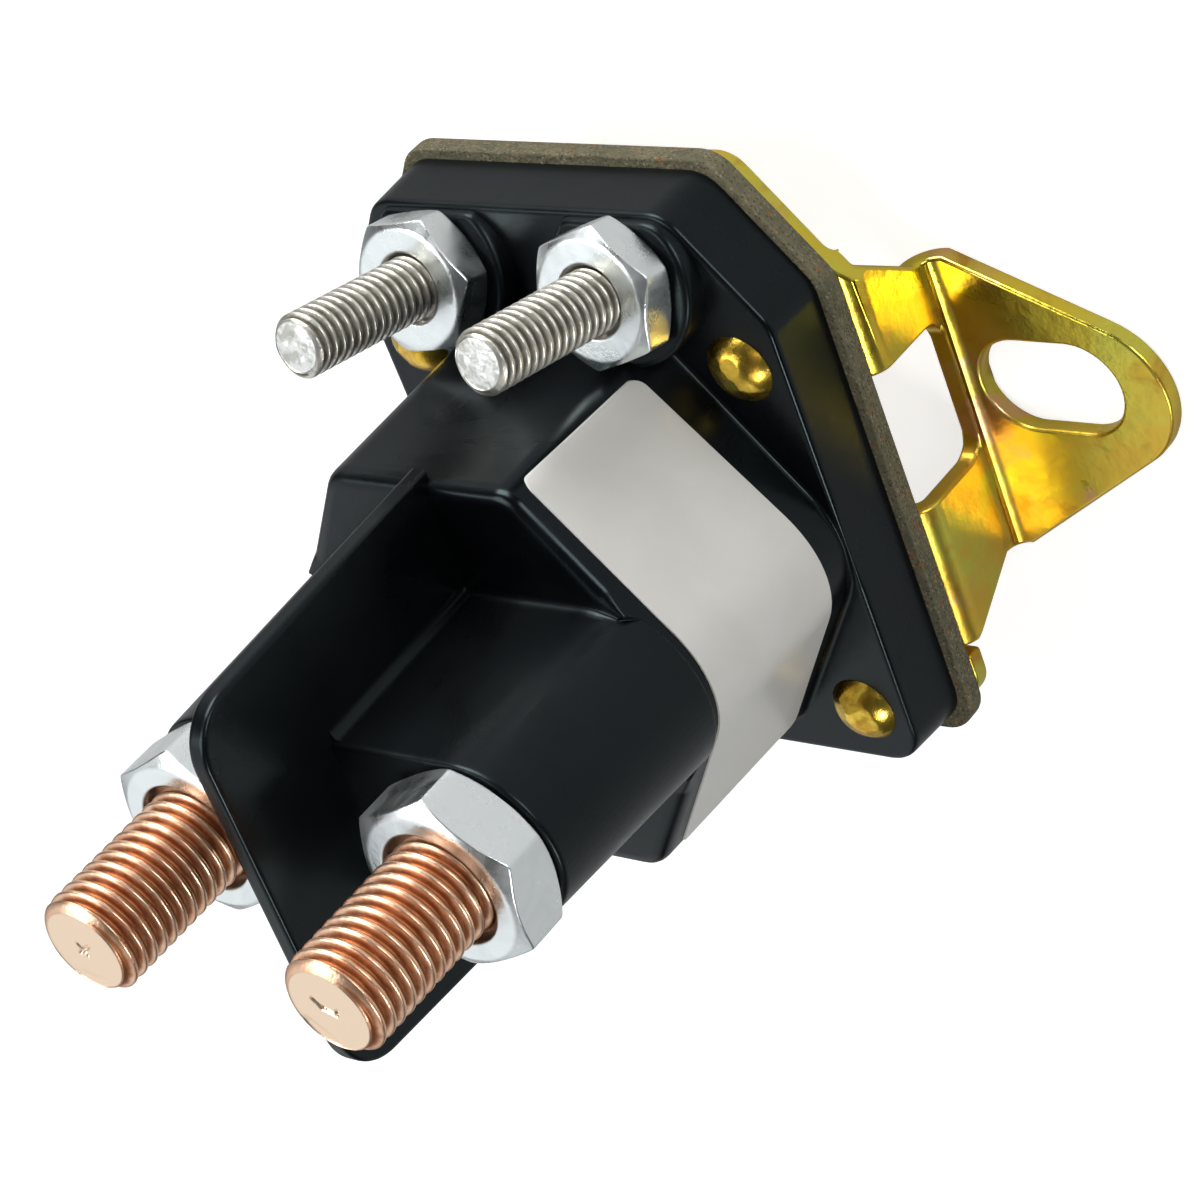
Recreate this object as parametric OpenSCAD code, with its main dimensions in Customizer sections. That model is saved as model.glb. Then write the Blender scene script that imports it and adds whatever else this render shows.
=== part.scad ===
// Starter solenoid: a moulded contactor on a bent sheet bracket with two slotted ears.
// Millimetres, +Z along the battery studs. The origin is midway between the two ear
// slots, on the underside of the ears, where the part sits on its mounting panel.

/* [Bracket] */
// Height of the bracket plate's top above the underside of the ears
plate_rise = 10.1; // [9.6:0.1:14]
// Thickness of the bracket sheet
sheet_t = 1.5; // [1.2:0.1:1.8]
// Distance between the outer faces of the two legs
leg_span = 40.6; // [40:0.1:43]
// Inner radius of the bend between plate and leg
bend_r = 0.6; // [0.2:0.1:0.8]
// Inner radius of the bend between leg and ear
foot_r = 1.3; // [0.6:0.1:1.5]
// Leg edge at the plate, rear side, from the slot line
leg_top_rear = 17.9; // [16.5:0.05:18.2]
// Leg edge at the plate, front side, from the slot line
leg_top_front = 14; // [13:0.05:14.8]
// Leg edge at the ear, rear side, from the slot line
leg_foot_rear = 14.3; // [12:0.05:15.5]
// Leg edge at the ear, front side, from the slot line
leg_foot_front = 10.5; // [9.5:0.05:12.5]
// Distance between the centres of the two ear slots
slot_spacing = 55.2; // [54:0.2:60]
// Width of an ear slot
slot_w = 7.47; // [6:0.01:8]
// End-to-end length of an ear slot
slot_len = 11.6; // [9:0.1:12]
// Radius of the rounded ear tip
ear_tip_r = 6.2; // [5.9:0.1:7.6]
// Ear tip centre beyond the slot centre
ear_tip_shift = 3.4; // [2.5:0.1:4.5]
// Ear tip centre behind the slot line
ear_tip_drop = 0.5; // [0:0.1:1]
// Width of the window in each leg
window_w = 11.5; // [8:0.1:13]
// Height of the window's lower edge above the ear
window_sill = 0.6; // [0.5:0.1:2]
// Corner radius of the window
window_r = 1.6; // [0.8:0.1:2]
// Width of the plate beside the legs
plate_w = 40; // [39.5:0.1:41]
// Plate edge behind the body axis
plate_rear = 19; // [18.5:0.1:20.5]
// Plate edge ahead of the body axis
plate_front = 27; // [26:0.1:30]
// Half width of the plate's straight front edge
plate_front_half = 13.3; // [12.6:0.1:15]
// Corner radius of the plate at the front
plate_front_r = 2.6; // [1:0.1:3]
// Corner radius of the plate at the rear
plate_rear_r = 2.4; // [1:0.1:3]
// Width of the relief notch behind each leg
relief_w = 0.5; // [0.3:0.1:0.8]

/* [Gasket] */
// Thickness of the gasket
gasket_t = 1.6; // [1.2:0.1:2]
// Width of the gasket
gasket_w = 40; // [39:0.1:41]
// Gasket edge behind the body axis
gasket_rear = 20.7; // [20:0.1:23]
// Gasket edge ahead of the body axis
gasket_front = 28; // [27.4:0.1:29]
// Half width of the gasket's straight front edge
gasket_front_half = 13.4; // [13:0.1:14.5]
// Radius of the gasket's round opening
gasket_hole_r = 14.2; // [13.8:0.1:14.6]

/* [Housing] */
// Distance from the slot line back to the body axis
body_shift = 3.55; // [3.2:0.05:3.9]
// Width of the housing flange
flange_w = 38.3; // [37.6:0.1:38.8]
// Flange edge behind the body axis
flange_rear = 19.8; // [19:0.1:20.4]
// Flange edge ahead of the body axis
flange_front = 27.2; // [26.6:0.1:27.4]
// Half width of the flange's straight front edge
flange_front_half = 13.1; // [12.8:0.1:13.4]
// Height of the flange
flange_h = 5.4; // [4.8:0.1:6]
// Corner radius of the flange
flange_r = 3; // [2:0.1:4]
// Reach of the left front corner beyond the right one, on the flange and the gasket
left_corner_out = 0.8; // [0:0.1:1.2]
// Width of the body across its two straight sides
body_flat = 33.8; // [33.4:0.1:35]
// Width of the body across its slanted sides
body_diag = 33.4; // [33:0.1:34.2]
// Height of the body above the gasket
body_h = 23.6; // [23.4:0.1:26]
// Radius of the body's end corners
body_end_r = 8.2; // [7.8:0.1:8.6]
// Radius of the body's side corners
body_side_r = 3; // [2.4:0.1:4]
// Wall of the body
body_wall = 2.2; // [1.8:0.1:2.4]
// Height of the stud boss above the body
boss_h = 16; // [15:0.1:18]
// Radius of the stud boss at the body
boss_r = 7.4; // [7.2:0.05:7.8]
// Radius of the stud boss at its end face
boss_end_r = 6.65; // [6.5:0.05:7]
// Thickness of the barrier between the studs
barrier_t = 1.6; // [1.2:0.1:2.4]
// Width of the barrier at its foot
barrier_w = 34; // [32:0.1:35]
// Width of the barrier at its top
barrier_top_w = 31.2; // [30:0.1:33]
// Height of the barrier above the boss
barrier_h = 9.7; // [8:0.1:12]
// Corner radius of the barrier
barrier_r = 4.2; // [2:0.1:6]

/* [Rivets] */
// Distance between rivets along the bracket
rivet_pitch_x = 30; // [29.6:0.1:30.4]
// Distance between rivets across the bracket
rivet_pitch_y = 29.7; // [29.4:0.1:30.2]
// Rivet pattern centre ahead of the body axis
rivet_shift = -0.1; // [-0.4:0.1:0.4]
// Diameter of the rivet's domed head
rivet_head_d = 5.3; // [4.8:0.1:5.6]
// Height of the rivet's domed head
rivet_head_h = 1.4; // [1:0.1:1.8]
// Diameter of the rivet shank
rivet_d = 3.9; // [3.2:0.1:4.2]
// Height of the rivet's formed head under the plate
rivet_tail_h = 1.2; // [0.8:0.1:1.5]

/* [Battery studs] */
// Distance between the two battery studs
stud_pitch = 22.92; // [22.6:0.02:23.2]
// Diameter of a battery stud
stud_d = 7.94; // [7.5:0.02:8]
// Diameter of a battery stud inside its nut and the boss
stud_shank_d = 7.3; // [7.1:0.1:7.5]
// Length of the thread's run-out above the battery nut
stud_runout = 0.4; // [0.3:0.1:0.8]
// Length of a battery stud beyond the boss
stud_out = 16.65; // [14:0.05:20]
// Chamfer at the stud's end
stud_tip = 0.7; // [0.4:0.1:1]
// Diameter of the stud's contact head
stud_head_d = 9.6; // [9:0.1:9.8]
// Thickness of the stud's contact head
stud_head_h = 2.4; // [2:0.1:3]
// Side of the stud's square neck
stud_neck = 8.4; // [8:0.1:8.8]
// Height of the stud's square neck
stud_neck_h = 2; // [1:0.1:3]
// Width of the battery nut across flats
stud_nut_af = 12.7; // [12:0.1:13]
// Thickness of the battery nut
stud_nut_h = 4.8; // [4:0.1:6]
// Turn of the right battery nut about its axis
stud_nut_turn_right = 21.6; // [0:0.1:60]
// Turn of the left battery nut about its axis
stud_nut_turn_left = 27.5; // [0:0.1:60]

/* [Coil studs] */
// Distance between the two coil studs at their nuts
coil_stud_pitch = 16.8; // [16.2:0.1:17.4]
// Nut seat of a coil stud ahead of the body axis
coil_seat_y = 22.15; // [21.8:0.05:22.3]
// Nut seat of a coil stud above the gasket
coil_seat_z = 7; // [6.8:0.1:7.6]
// Lean of the coil studs towards the front
coil_lean = 12.9; // [9:0.1:14]
// Diameter of a coil stud
coil_stud_d = 4.72; // [4.2:0.01:5]
// Diameter of a coil stud inside its nut and the flange
coil_shank_d = 4.3; // [4:0.1:4.5]
// Length of the thread's run-out above the coil stud's nut
coil_runout = 0.4; // [0.3:0.1:0.8]
// Length of a coil stud beyond its nut
coil_stud_out = 11.7; // [9:0.1:15]
// Chamfer at the coil stud's end
coil_stud_tip = 0.5; // [0.2:0.1:0.8]
// Diameter of the coil stud's head
coil_head_d = 8.4; // [8:0.1:8.6]
// Thickness of the coil stud's head
coil_head_h = 1.6; // [1.2:0.1:1.8]
// Width of the coil stud's head across its two flats
coil_head_af = 7.2; // [6.6:0.1:7.6]
// Nut seat above the top of the coil stud's head
coil_head_depth = 4.6; // [4.4:0.1:4.7]
// Width of the coil stud nut across flats
coil_nut_af = 9.53; // [9:0.01:10]
// Thickness of the coil stud nut
coil_nut_h = 3.18; // [2.6:0.02:4]
// Turn of the right coil stud nut about its axis
coil_nut_turn_right = 19.5; // [0:0.5:60]
// Turn of the left coil stud nut about its axis
coil_nut_turn_left = 7; // [0:0.5:60]
// Radius of the raised pad under a coil stud nut
coil_pad_r = 6; // [5.6:0.1:6.2]

/* [Label] */
// Thickness of the label
label_t = 0.15; // [0.1:0.05:0.3]
// Front end of the label ahead of the body axis
label_front = 16.2; // [14:0.1:16.4]
// Rear end of the label behind the body axis
label_rear = 15.8; // [14:0.1:16.2]
// Lower edge of the label at its front end, above the gasket
label_low_front = 9.1; // [8:0.1:11]
// Lower edge of the label at its rear end, above the gasket
label_low_rear = 7; // [6.8:0.1:9]
// Upper edge of the label at its front end, above the gasket
label_high_front = 21.9; // [19:0.1:22.2]
// Upper edge of the label at its rear end, above the gasket
label_high_rear = 21.2; // [19:0.1:22.2]
// Corner radius of the label
label_r = 1.3; // [0.6:0.1:2]

/* [Coil and core] */
// Outer radius of the coil can
can_r = 13.6; // [13.4:0.1:13.8]
// Wall of the coil can
can_wall = 1.2; // [1:0.1:1.4]
// Top of the coil can above the gasket
can_rise = 17.5; // [17:0.1:18]
// Thickness of the coil can's lid
can_lid = 1.5; // [1.2:0.1:1.8]
// Thickness of the flux washer
flux_t = 1.4; // [1:0.1:1.6]
// Wall of the bobbin's tube
bobbin_wall = 0.9; // [0.7:0.1:1.2]
// Thickness of the bobbin's flanges
bobbin_flange = 1.2; // [1:0.1:1.5]
// Depth of the winding
winding_depth = 4.8; // [3:0.1:5]
// Thickness of the tape over the winding
tape_t = 0.3; // [0.2:0.1:0.4]
// Radius of a coil lead
lead_r = 0.55; // [0.4:0.05:0.7]
// Radius of the fixed core and of the plunger
core_r = 5; // [4.6:0.1:5.2]
// Length of the fixed core below the top of the can
core_len = 6; // [5:0.1:6.4]
// Radius of the fixed core's flange
core_flange_r = 8; // [7:0.1:9]
// Thickness of the fixed core's flange
core_flange_t = 1.2; // [1:0.1:1.3]
// Wall of the guide tube
tube_wall = 0.5; // [0.4:0.1:0.6]

/* [Plunger and contacts] */
// Travel of the plunger
plunger_travel = 3.3; // [3:0.1:3.4]
// Air left between the pulled plunger and the core
plunger_air = 0.2; // [0.2:0.05:0.4]
// Thickness of the rubber stop pad
pad_t = 0.9; // [0.7:0.05:1.1]
// Radius of the rubber stop pad
pad_r = 4.4; // [3:0.1:4.8]
// Radius of the spring well in the plunger
well_r = 3.4; // [3.3:0.1:3.6]
// Depth of the spring well in the plunger
well_depth = 5; // [4.5:0.1:5.4]
// Radius of the push rod
rod_r = 1.5; // [1.3:0.1:1.6]
// Radius of the push rod's collar
collar_r = 3.3; // [3:0.1:3.6]
// Thickness of the push rod's collar
collar_t = 1; // [0.8:0.1:1.1]
// Wire diameter of both springs
wire_d = 0.7; // [0.5:0.05:0.75]
// Mean radius of the return spring
return_spring_r = 2.75; // [2.6:0.05:2.9]
// Mean radius of the contact spring
contact_spring_r = 2.8; // [2.6:0.05:3]
// Length of the contact spring at rest
contact_spring_len = 4.5; // [4.3:0.1:4.7]
// Height of the contact chamber above the gasket
chamber_h = 33; // [32.8:0.1:33.6]
// Radius of the contact chamber's round ends
chamber_r = 5; // [4.9:0.05:5.1]
// Gap between the contact bar and the stud heads at rest
contact_gap = 2.5; // [2.3:0.05:2.7]
// Thickness of the contact bar
bar_t = 1.6; // [1.2:0.1:1.8]
// Width of the contact bar
bar_w = 8.6; // [8:0.1:9]
// Radius of the insulating washers
washer_r = 4; // [3.4:0.1:4.2]
// Thickness of the insulating washers
washer_t = 0.9; // [0.7:0.1:1]
// Wall of the sleeve through the contact bar
sleeve_wall = 0.8; // [0.6:0.1:1]
// Thickness of the retaining clip
clip_t = 0.5; // [0.4:0.05:0.6]
// Radius of the retaining clip
clip_r = 3; // [2.6:0.1:3.2]

/* [Hidden] */
$fn = 96;
// Overrun of every cut beyond the face it opens
over = 1;
// Depth to which a piece of a moulding or of the sheet runs into its neighbour
lap = 0.6;
// Play of still pieces in their seats
fit = 0.05;
// Play of the running pieces
run_fit = 0.08;
// Play of the loose pieces in their pockets
pocket_fit = 0.15;
// Gap below the resting plunger and under the clip
rest_gap = 0.05;
// Slant of the body's sides from the cross direction
slant = 34.6;
// Steps along a rounded corner, and along one round end of the boss
arc_steps = 10;
end_steps = 32;
// Angles at which a rounded top edge is stepped
edge_angles = [0, 22.5, 45, 67.5, 90];
// Inset of the stud pads from the flange's top edge
pad_inset = 0.15;
// Inset of the body's sides between foot and top
body_draft = 0.5;
// Rounding of the body's top edge
body_edge = 1;
// Inset of the flange's sides between foot and top
flange_draft = 0.25;
// Rounding of the flange's top edge
flange_edge = 0.3;
// Rounding of the boss's end edge
boss_edge = 0.4;
// Depth of the window into the plate
window_bite = 0.5;
// Radius of the rod's pocket in the chamber roof and its depth
rod_pocket_r = 3.5;
rod_pocket_h = 1.5;
// Radius of the recess over the can's rim
rim_recess_r = 12.4;
// Rounding of the neck's corners, from its half side
neck_corner = 0.8;
// Wires, turns and steps of the springs
return_turns = 5;
contact_turns = 3;
turn_steps = 12;
wire_sides = 6;
// Width of the clip's mouth and depth of its groove
clip_mouth = 2;
groove_depth = 0.4;
// Cover over the can, coil depth, contact stack and roof at which the inner heights are as set
full_cover = 6.1;
full_coil = 19.1;
full_stack = 14.3;
full_roof = 6.6;
// Rod beyond the clip
rod_end = 0.65;
// Depth of the rod's seat in the plunger's floor
rod_seat = 2.6;
// Play of the bobbin under the lid
bobbin_play = 0.1;
// Width of the leads' cuts beyond the lead
lead_play = 0.3;
// Clear stretch at the ends of a lead
lead_gap = 0.15;
// Thread chamfer at a nut's mouth
mouth = 0.4;
// Share of the flat width at which a nut's rounded face starts
nut_face_share = 0.94;
// Turn of a nut's rounded edge from its corners
seam_turn = 15;
// Smallest radius left where a corner is drawn in
least_r = 0.3;
// Edge chamfer of a rivet's formed head
tail_edge = 0.4;

plate_top = plate_rise;
base_z = plate_top + gasket_t;
body_y = -body_shift;
half_stud = stud_pitch / 2;
leg_x = leg_span / 2;
flat_x = leg_x - sheet_t - bend_r;
slot_x = slot_spacing / 2;
tip_x = slot_x + ear_tip_shift;
boss_top = body_h + boss_h;
barrier_top = boss_top + barrier_h;
can_low = -gasket_t;
can_inner_r = can_r - can_wall;
coil_share = (can_rise - can_low) / full_coil;
lid_low = can_rise - can_lid;
core_face = can_rise - core_len * coil_share;
cover_share = (body_h - can_rise) / full_cover;
core_top = can_rise + core_flange_t * cover_share;
recess_top = body_h - body_wall * cover_share;
stack_share = (chamber_h - core_top) / full_stack;
roof_share = (boss_top - chamber_h) / full_roof;
neck_h = stud_neck_h * roof_share;
pocket_h = rod_pocket_h * roof_share;
tube_r = core_r + run_fit + tube_wall;
bobbin_low = can_low + flux_t;
bobbin_high = lid_low - bobbin_play;
bobbin_bore = tube_r + pocket_fit;
bobbin_tube_r = bobbin_bore + bobbin_wall;
bobbin_r = can_inner_r - pocket_fit;
wind_low = bobbin_low + bobbin_flange;
wind_high = bobbin_high - bobbin_flange;
wind_r = bobbin_tube_r + winding_depth;
tape_r = wind_r + tape_t;
plunger_top = core_face - plunger_air - plunger_travel;
plunger_low = can_low + pad_t + rest_gap;
well_floor = plunger_top - well_depth * coil_share;
rod_foot = well_floor - rod_seat * coil_share;
head_low = chamber_h - stud_head_h * stack_share;
bar_high = head_low - contact_gap * stack_share;
bar_low = bar_high - bar_t * stack_share;
washer_low = bar_low - washer_t * stack_share;
spring_low = washer_low - contact_spring_len * stack_share;
collar_low = spring_low - collar_t * stack_share;
washer_high = bar_high + washer_t * stack_share;
clip_low = washer_high + rest_gap;
clip_high = clip_low + clip_t;
rod_high = clip_high + rod_end;
sleeve_r = rod_r + run_fit + sleeve_wall;
coil_x = coil_stud_pitch / 2;
coil_head_low = -coil_head_depth - coil_head_h;
coil_head_mid = -coil_head_depth - coil_head_h / 2;
coil_tip = coil_nut_h + coil_stud_out;
lead_z = coil_seat_z + coil_head_d / 2 * sin(coil_lean) + coil_head_mid * cos(coil_lean);
lead_out = coil_seat_y - coil_head_d / 2 * cos(coil_lean) + coil_head_mid * sin(coil_lean) - lead_gap;
lead_in = sqrt(pow(tape_r, 2) - pow(coil_x - lead_r, 2)) + lead_gap;

function unit2(v) = v / norm(v);
// Arc that rounds the corner p between its neighbours a and b of a convex outline
function corner_arc(p, a, b, r) = let (
    u = unit2(a - p),
    w = unit2(b - p),
    h = acos(u * w) / 2,
    c = p + unit2(u + w) * r / sin(h),
    s = p + u * r / tan(h) - c,
    g = atan2(s[1], s[0]),
    t = 180 - 2 * h
) [for (k = [0:arc_steps]) c + r * [cos(g + t * k / arc_steps), sin(g + t * k / arc_steps)]];
function rounded(p, r) = let (n = len(p))
    [for (i = [0:n - 1]) each corner_arc(p[i], p[(i + n - 1) % n], p[(i + 1) % n], r[i])];
// Outline of the body, grown by g
function body_pts(g) = let (
    f = body_flat / 2 + g,
    d = body_diag / 2 + g,
    x = (d - f * sin(slant)) / cos(slant),
    e = max(body_end_r + g, least_r),
    s = max(body_side_r + g, least_r)
) rounded([[d / cos(slant), 0], [x, f], [-x, f], [-d / cos(slant), 0], [-x, -f], [x, -f]], [e, s, s, e, s, s]);
// Outline with two slanted front corners, grown by g
function front_cut_pts(wide, rear, front, half, r, g) = let (
    d = half * cos(slant) + front * sin(slant) + g,
    f = front + g,
    h = wide / 2 + g,
    x = (d - f * sin(slant)) / cos(slant),
    y = (d - h * cos(slant)) / sin(slant),
    v = left_corner_out / cos(slant),
    w = left_corner_out / sin(slant)
) rounded([[h, -rear - g], [h, y], [x, f], [-x - v, f], [-h, y + w], [-h, -rear - g]], [r, r, r, r, r, r]);
// Outline of two round ends of radius r joined by straight sides
function boss_pts(r) = [for (s = [0, 1], k = [0:end_steps])
    [(1 - 2 * s) * half_stud, 0] + r * [cos(180 * (s + k / end_steps) - 90), sin(180 * (s + k / end_steps) - 90)]];
function flange_pts(g) = front_cut_pts(flange_w, flange_rear, flange_front, flange_front_half, flange_r, g);
// Point where the edge from p touches the circle at c, on the side s
function touch(p, c, r, s) = let (v = p - c, a = atan2(v[1], v[0]) + s * acos(r / norm(v))) a;

module at_body() translate([0, body_y, base_z]) children();
// Block through outlines of equal count, one at each of the heights
module loft(outlines, heights) {
    n = len(outlines[0]);
    m = len(outlines);
    sides = [for (i = [0:m - 2], k = [0:n - 1]) [i * n + k, i * n + n + k, i * n + n + (k + 1) % n, i * n + (k + 1) % n]];
    polyhedron(
        points = [for (i = [0:m - 1], p = outlines[i]) [p[0], p[1], heights[i]]],
        faces = concat([[for (k = [0:n - 1]) k]], sides, [[for (k = [n - 1:-1:0]) (m - 1) * n + k]]));
}
module stadium(r, half, low, high) {
    translate([half, 0, low]) cylinder(r = r, h = high - low);
    translate([-half, 0, low]) cylinder(r = r, h = high - low);
    translate([-half, -r, low]) cube([2 * half, 2 * r, high - low]);
}
module at_coil_stud(side) translate([side * coil_x, coil_seat_y, coil_seat_z]) rotate([-coil_lean, 0, 0]) children();
module at_rivets() for (x = [-1, 1], y = [-1, 1])
    translate([x * rivet_pitch_x / 2, rivet_shift + y * rivet_pitch_y / 2, 0]) children();
// Straight-sided stretch of the body, grown by g
module body_sides(g) loft([body_pts(g), body_pts(g - body_draft)], [flange_h, body_h - body_edge]);

// Block of the body with its drafted sides and rounded top edge
module body_block() loft(
    concat([body_pts(0), body_pts(0)], [for (a = edge_angles) body_pts(-body_draft - body_edge * (1 - cos(a)))]),
    concat([flange_h - lap, flange_h], [for (a = edge_angles) body_h - body_edge * (1 - sin(a))]));
module flange_block() loft(
    [flange_pts(0), flange_pts(-flange_draft), flange_pts(-flange_draft - flange_edge)],
    [0, flange_h - flange_edge, flange_h]);
module boss_block() loft(
    [boss_pts(boss_r), boss_pts(boss_end_r), boss_pts(boss_end_r - boss_edge)],
    [body_h - body_edge, boss_top - boss_edge, boss_top]);
module barrier_block() translate([-barrier_t / 2, 0, body_h - lap]) rotate([90, 0, 90]) linear_extrude(height = barrier_t)
    polygon(concat([[-barrier_w / 2, 0], [barrier_w / 2, 0]], [for (p = rounded([
        [-barrier_w / 2, 0], [barrier_w / 2, 0],
        [barrier_top_w / 2, barrier_top - body_h + lap], [-barrier_top_w / 2, barrier_top - body_h + lap]],
        [least_r, least_r, barrier_r, barrier_r])) if (p[1] > barrier_h) p]));
module coil_pad(side) intersection() {
    translate([side * coil_x, coil_seat_y, flange_h - lap]) cylinder(r = coil_pad_r, h = coil_seat_z);
    at_coil_stud(side) translate([0, 0, -coil_seat_z]) cylinder(r = 3 * coil_pad_r, h = coil_seat_z);
    linear_extrude(height = 3 * coil_seat_z) polygon(flange_pts(-flange_draft - flange_edge - pad_inset));
}
// Head of a coil stud, or the pocket for it, whose depth below the head is drop
module coil_head(side, play, drop) at_coil_stud(side) intersection() {
    translate([0, 0, coil_head_low - drop]) cylinder(d = coil_head_d + 2 * play, h = coil_head_h + drop + play);
    translate([-coil_head_af / 2 - play, -coil_head_d, coil_head_low - drop - over])
        cube([coil_head_af + 2 * play, 2 * coil_head_d, coil_head_h + drop + 2 * over]);
}
module neck(play) intersection() {
    translate([-stud_neck / 2 - play, -stud_neck / 2 - play, chamber_h - play])
        cube([stud_neck + 2 * play, stud_neck + 2 * play, neck_h + 2 * play]);
    translate([0, 0, chamber_h - over]) cylinder(r = stud_neck / 2 + neck_corner + play, h = neck_h + 2 * over);
}

module housing() color([0.07, 0.07, 0.08]) at_body() difference() {
    union() {
        flange_block();
        body_block();
        boss_block();
        barrier_block();
        for (s = [-1, 1]) coil_pad(s);
    }
    translate([0, 0, -over]) linear_extrude(height = can_rise + over) polygon(body_pts(-body_wall));
    translate([0, 0, can_rise - over]) cylinder(r = rim_recess_r, h = recess_top - can_rise + over);
    stadium(chamber_r, half_stud, can_rise - over, chamber_h);
    translate([0, 0, chamber_h - over]) cylinder(r = rod_pocket_r, h = pocket_h + over);
    for (s = [-1, 1]) {
        translate([s * half_stud, 0, chamber_h - over]) cylinder(d = stud_shank_d + 2 * fit, h = boss_h);
        translate([s * half_stud, 0, 0]) neck(fit);
        at_coil_stud(s) translate([0, 0, -coil_seat_z]) cylinder(d = coil_shank_d + 2 * fit, h = 2 * coil_seat_z);
        coil_head(s, pocket_fit, coil_seat_z);
        translate([s * coil_x - lead_r - lead_play, body_flat / 2 - 2 * body_wall, -over])
            cube([2 * (lead_r + lead_play), 2 * body_wall + lead_play, lead_z + lead_r + lead_play + over]);
    }
    at_rivets() translate([0, 0, -over]) cylinder(d = rivet_d + 2 * fit, h = flange_h + 2 * over);
}

module gasket() color([0.42, 0.39, 0.3]) translate([0, body_y, plate_top]) difference() {
    linear_extrude(height = gasket_t)
        polygon(front_cut_pts(gasket_w, gasket_rear, gasket_front, gasket_front_half, flange_r, 0));
    translate([0, 0, -over]) cylinder(r = gasket_hole_r, h = gasket_t + 2 * over);
    at_rivets() translate([0, 0, -over]) cylinder(d = rivet_d + 2 * fit, h = gasket_t + 2 * over);
}

// Section of one leg with its two bends and its ear, at the right
module leg_section() {
    translate([flat_x - lap, plate_top - sheet_t]) square([lap, sheet_t]);
    translate([flat_x, plate_top - sheet_t - bend_r]) intersection() {
        difference() {
            circle(r = bend_r + sheet_t);
            circle(r = bend_r);
        }
        square([bend_r + sheet_t, bend_r + sheet_t]);
    }
    translate([leg_x - sheet_t, sheet_t + foot_r]) square([sheet_t, plate_top - 2 * sheet_t - bend_r - foot_r]);
    translate([leg_x + foot_r, sheet_t + foot_r]) intersection() {
        difference() {
            circle(r = foot_r + sheet_t);
            circle(r = foot_r);
        }
        translate([-foot_r - sheet_t, -foot_r - sheet_t]) square([foot_r + sheet_t, foot_r + sheet_t]);
    }
    translate([leg_x + foot_r, 0]) square([tip_x + ear_tip_r - leg_x - foot_r, sheet_t]);
}
// Front view of a leg: wide at the plate, where its bend reaches the plate's slanted edge
module leg_face() polygon([
    [-leg_foot_rear, -over], [leg_foot_front, -over], [leg_foot_front, sheet_t + foot_r],
    [leg_top_front, plate_top - sheet_t - bend_r], [slant_front(flat_x), plate_top - sheet_t - bend_r],
    [slant_front(flat_x), plate_top + over],
    [-leg_top_rear, plate_top + over], [-leg_top_rear, plate_top - sheet_t],
    [-leg_foot_rear, sheet_t + foot_r]]);
// Where the plate's slanted front edge lies at x, from the slot line
function slant_front(x) = body_y + plate_front - (x - plate_front_half) / tan(slant);
// Plan of a leg and its ear, whose edges run straight into the round tip
module ear_plan() {
    c = [tip_x, -ear_tip_drop];
    p = [leg_x + foot_r, -leg_foot_rear];
    q = [leg_x + foot_r, leg_foot_front];
    a = touch(p, c, ear_tip_r, 1);
    b = touch(q, c, ear_tip_r, -1);
    polygon(concat(
        [[flat_x - lap, -leg_top_rear - over], [p[0], -leg_top_rear - over], p],
        [for (k = [0:3 * arc_steps]) c + ear_tip_r * [cos(a + (b - a) * k / (3 * arc_steps)), sin(a + (b - a) * k / (3 * arc_steps))]],
        [q, [leg_x, slant_front(leg_x)], [flat_x - lap, slant_front(flat_x - lap)]]));
}
module leg() difference() {
    intersection() {
        translate([0, slant_front(flat_x), 0]) rotate([90, 0, 0])
            linear_extrude(height = slant_front(flat_x) + leg_top_rear) leg_section();
        rotate([90, 0, 90]) linear_extrude(height = tip_x + ear_tip_r + over) leg_face();
        translate([0, 0, -over]) linear_extrude(height = plate_top + 2 * over) ear_plan();
    }
    window();
    ear_slot();
}
module ear_slot() {
    for (s = [-1, 1]) translate([slot_x + s * (slot_len - slot_w) / 2, 0, -over]) cylinder(d = slot_w, h = sheet_t + 2 * over);
    translate([slot_x - (slot_len - slot_w) / 2, -slot_w / 2, -over]) cube([slot_len - slot_w, slot_w, sheet_t + 2 * over]);
}
module window() translate([flat_x - window_bite, 0, 0]) rotate([90, 0, 90])
    linear_extrude(height = leg_x - flat_x + window_bite + foot_r) polygon(rounded([
        [-window_w / 2, sheet_t + window_sill], [window_w / 2, sheet_t + window_sill],
        [window_w / 2, plate_top + 2 * over], [-window_w / 2, plate_top + 2 * over]],
        [window_r, window_r, least_r, least_r]));
// Plan of the flat plate, with slanted front corners, which reaches to both legs
module plate_plan() {
    h = plate_w / 2;
    f = plate_front - (h - plate_front_half) / tan(slant);
    polygon(rounded([[h, -plate_rear], [h, f], [plate_front_half, plate_front],
        [-plate_front_half, plate_front], [-h, f], [-h, -plate_rear]],
        [plate_rear_r, least_r, plate_front_r, plate_front_r, least_r, plate_rear_r]));
    translate([-flat_x, body_shift - leg_top_rear]) square([2 * flat_x, leg_top_rear + leg_top_front]);
}
module mounting_bracket() color([0.72, 0.6, 0.3]) {
    difference() {
        translate([0, body_y, plate_top - sheet_t]) linear_extrude(height = sheet_t) plate_plan();
        for (s = [0, 1]) mirror([s, 0, 0]) {
            translate([flat_x, -leg_top_rear - relief_w, plate_top - sheet_t - over])
                cube([plate_w, leg_top_rear + relief_w + plate_front, sheet_t + 2 * over]);
            window();
        }
        translate([0, body_y, plate_top - sheet_t - over]) at_rivets() cylinder(d = rivet_d + 2 * fit, h = sheet_t + 2 * over);
    }
    leg();
    mirror([1, 0, 0]) leg();
}

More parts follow.
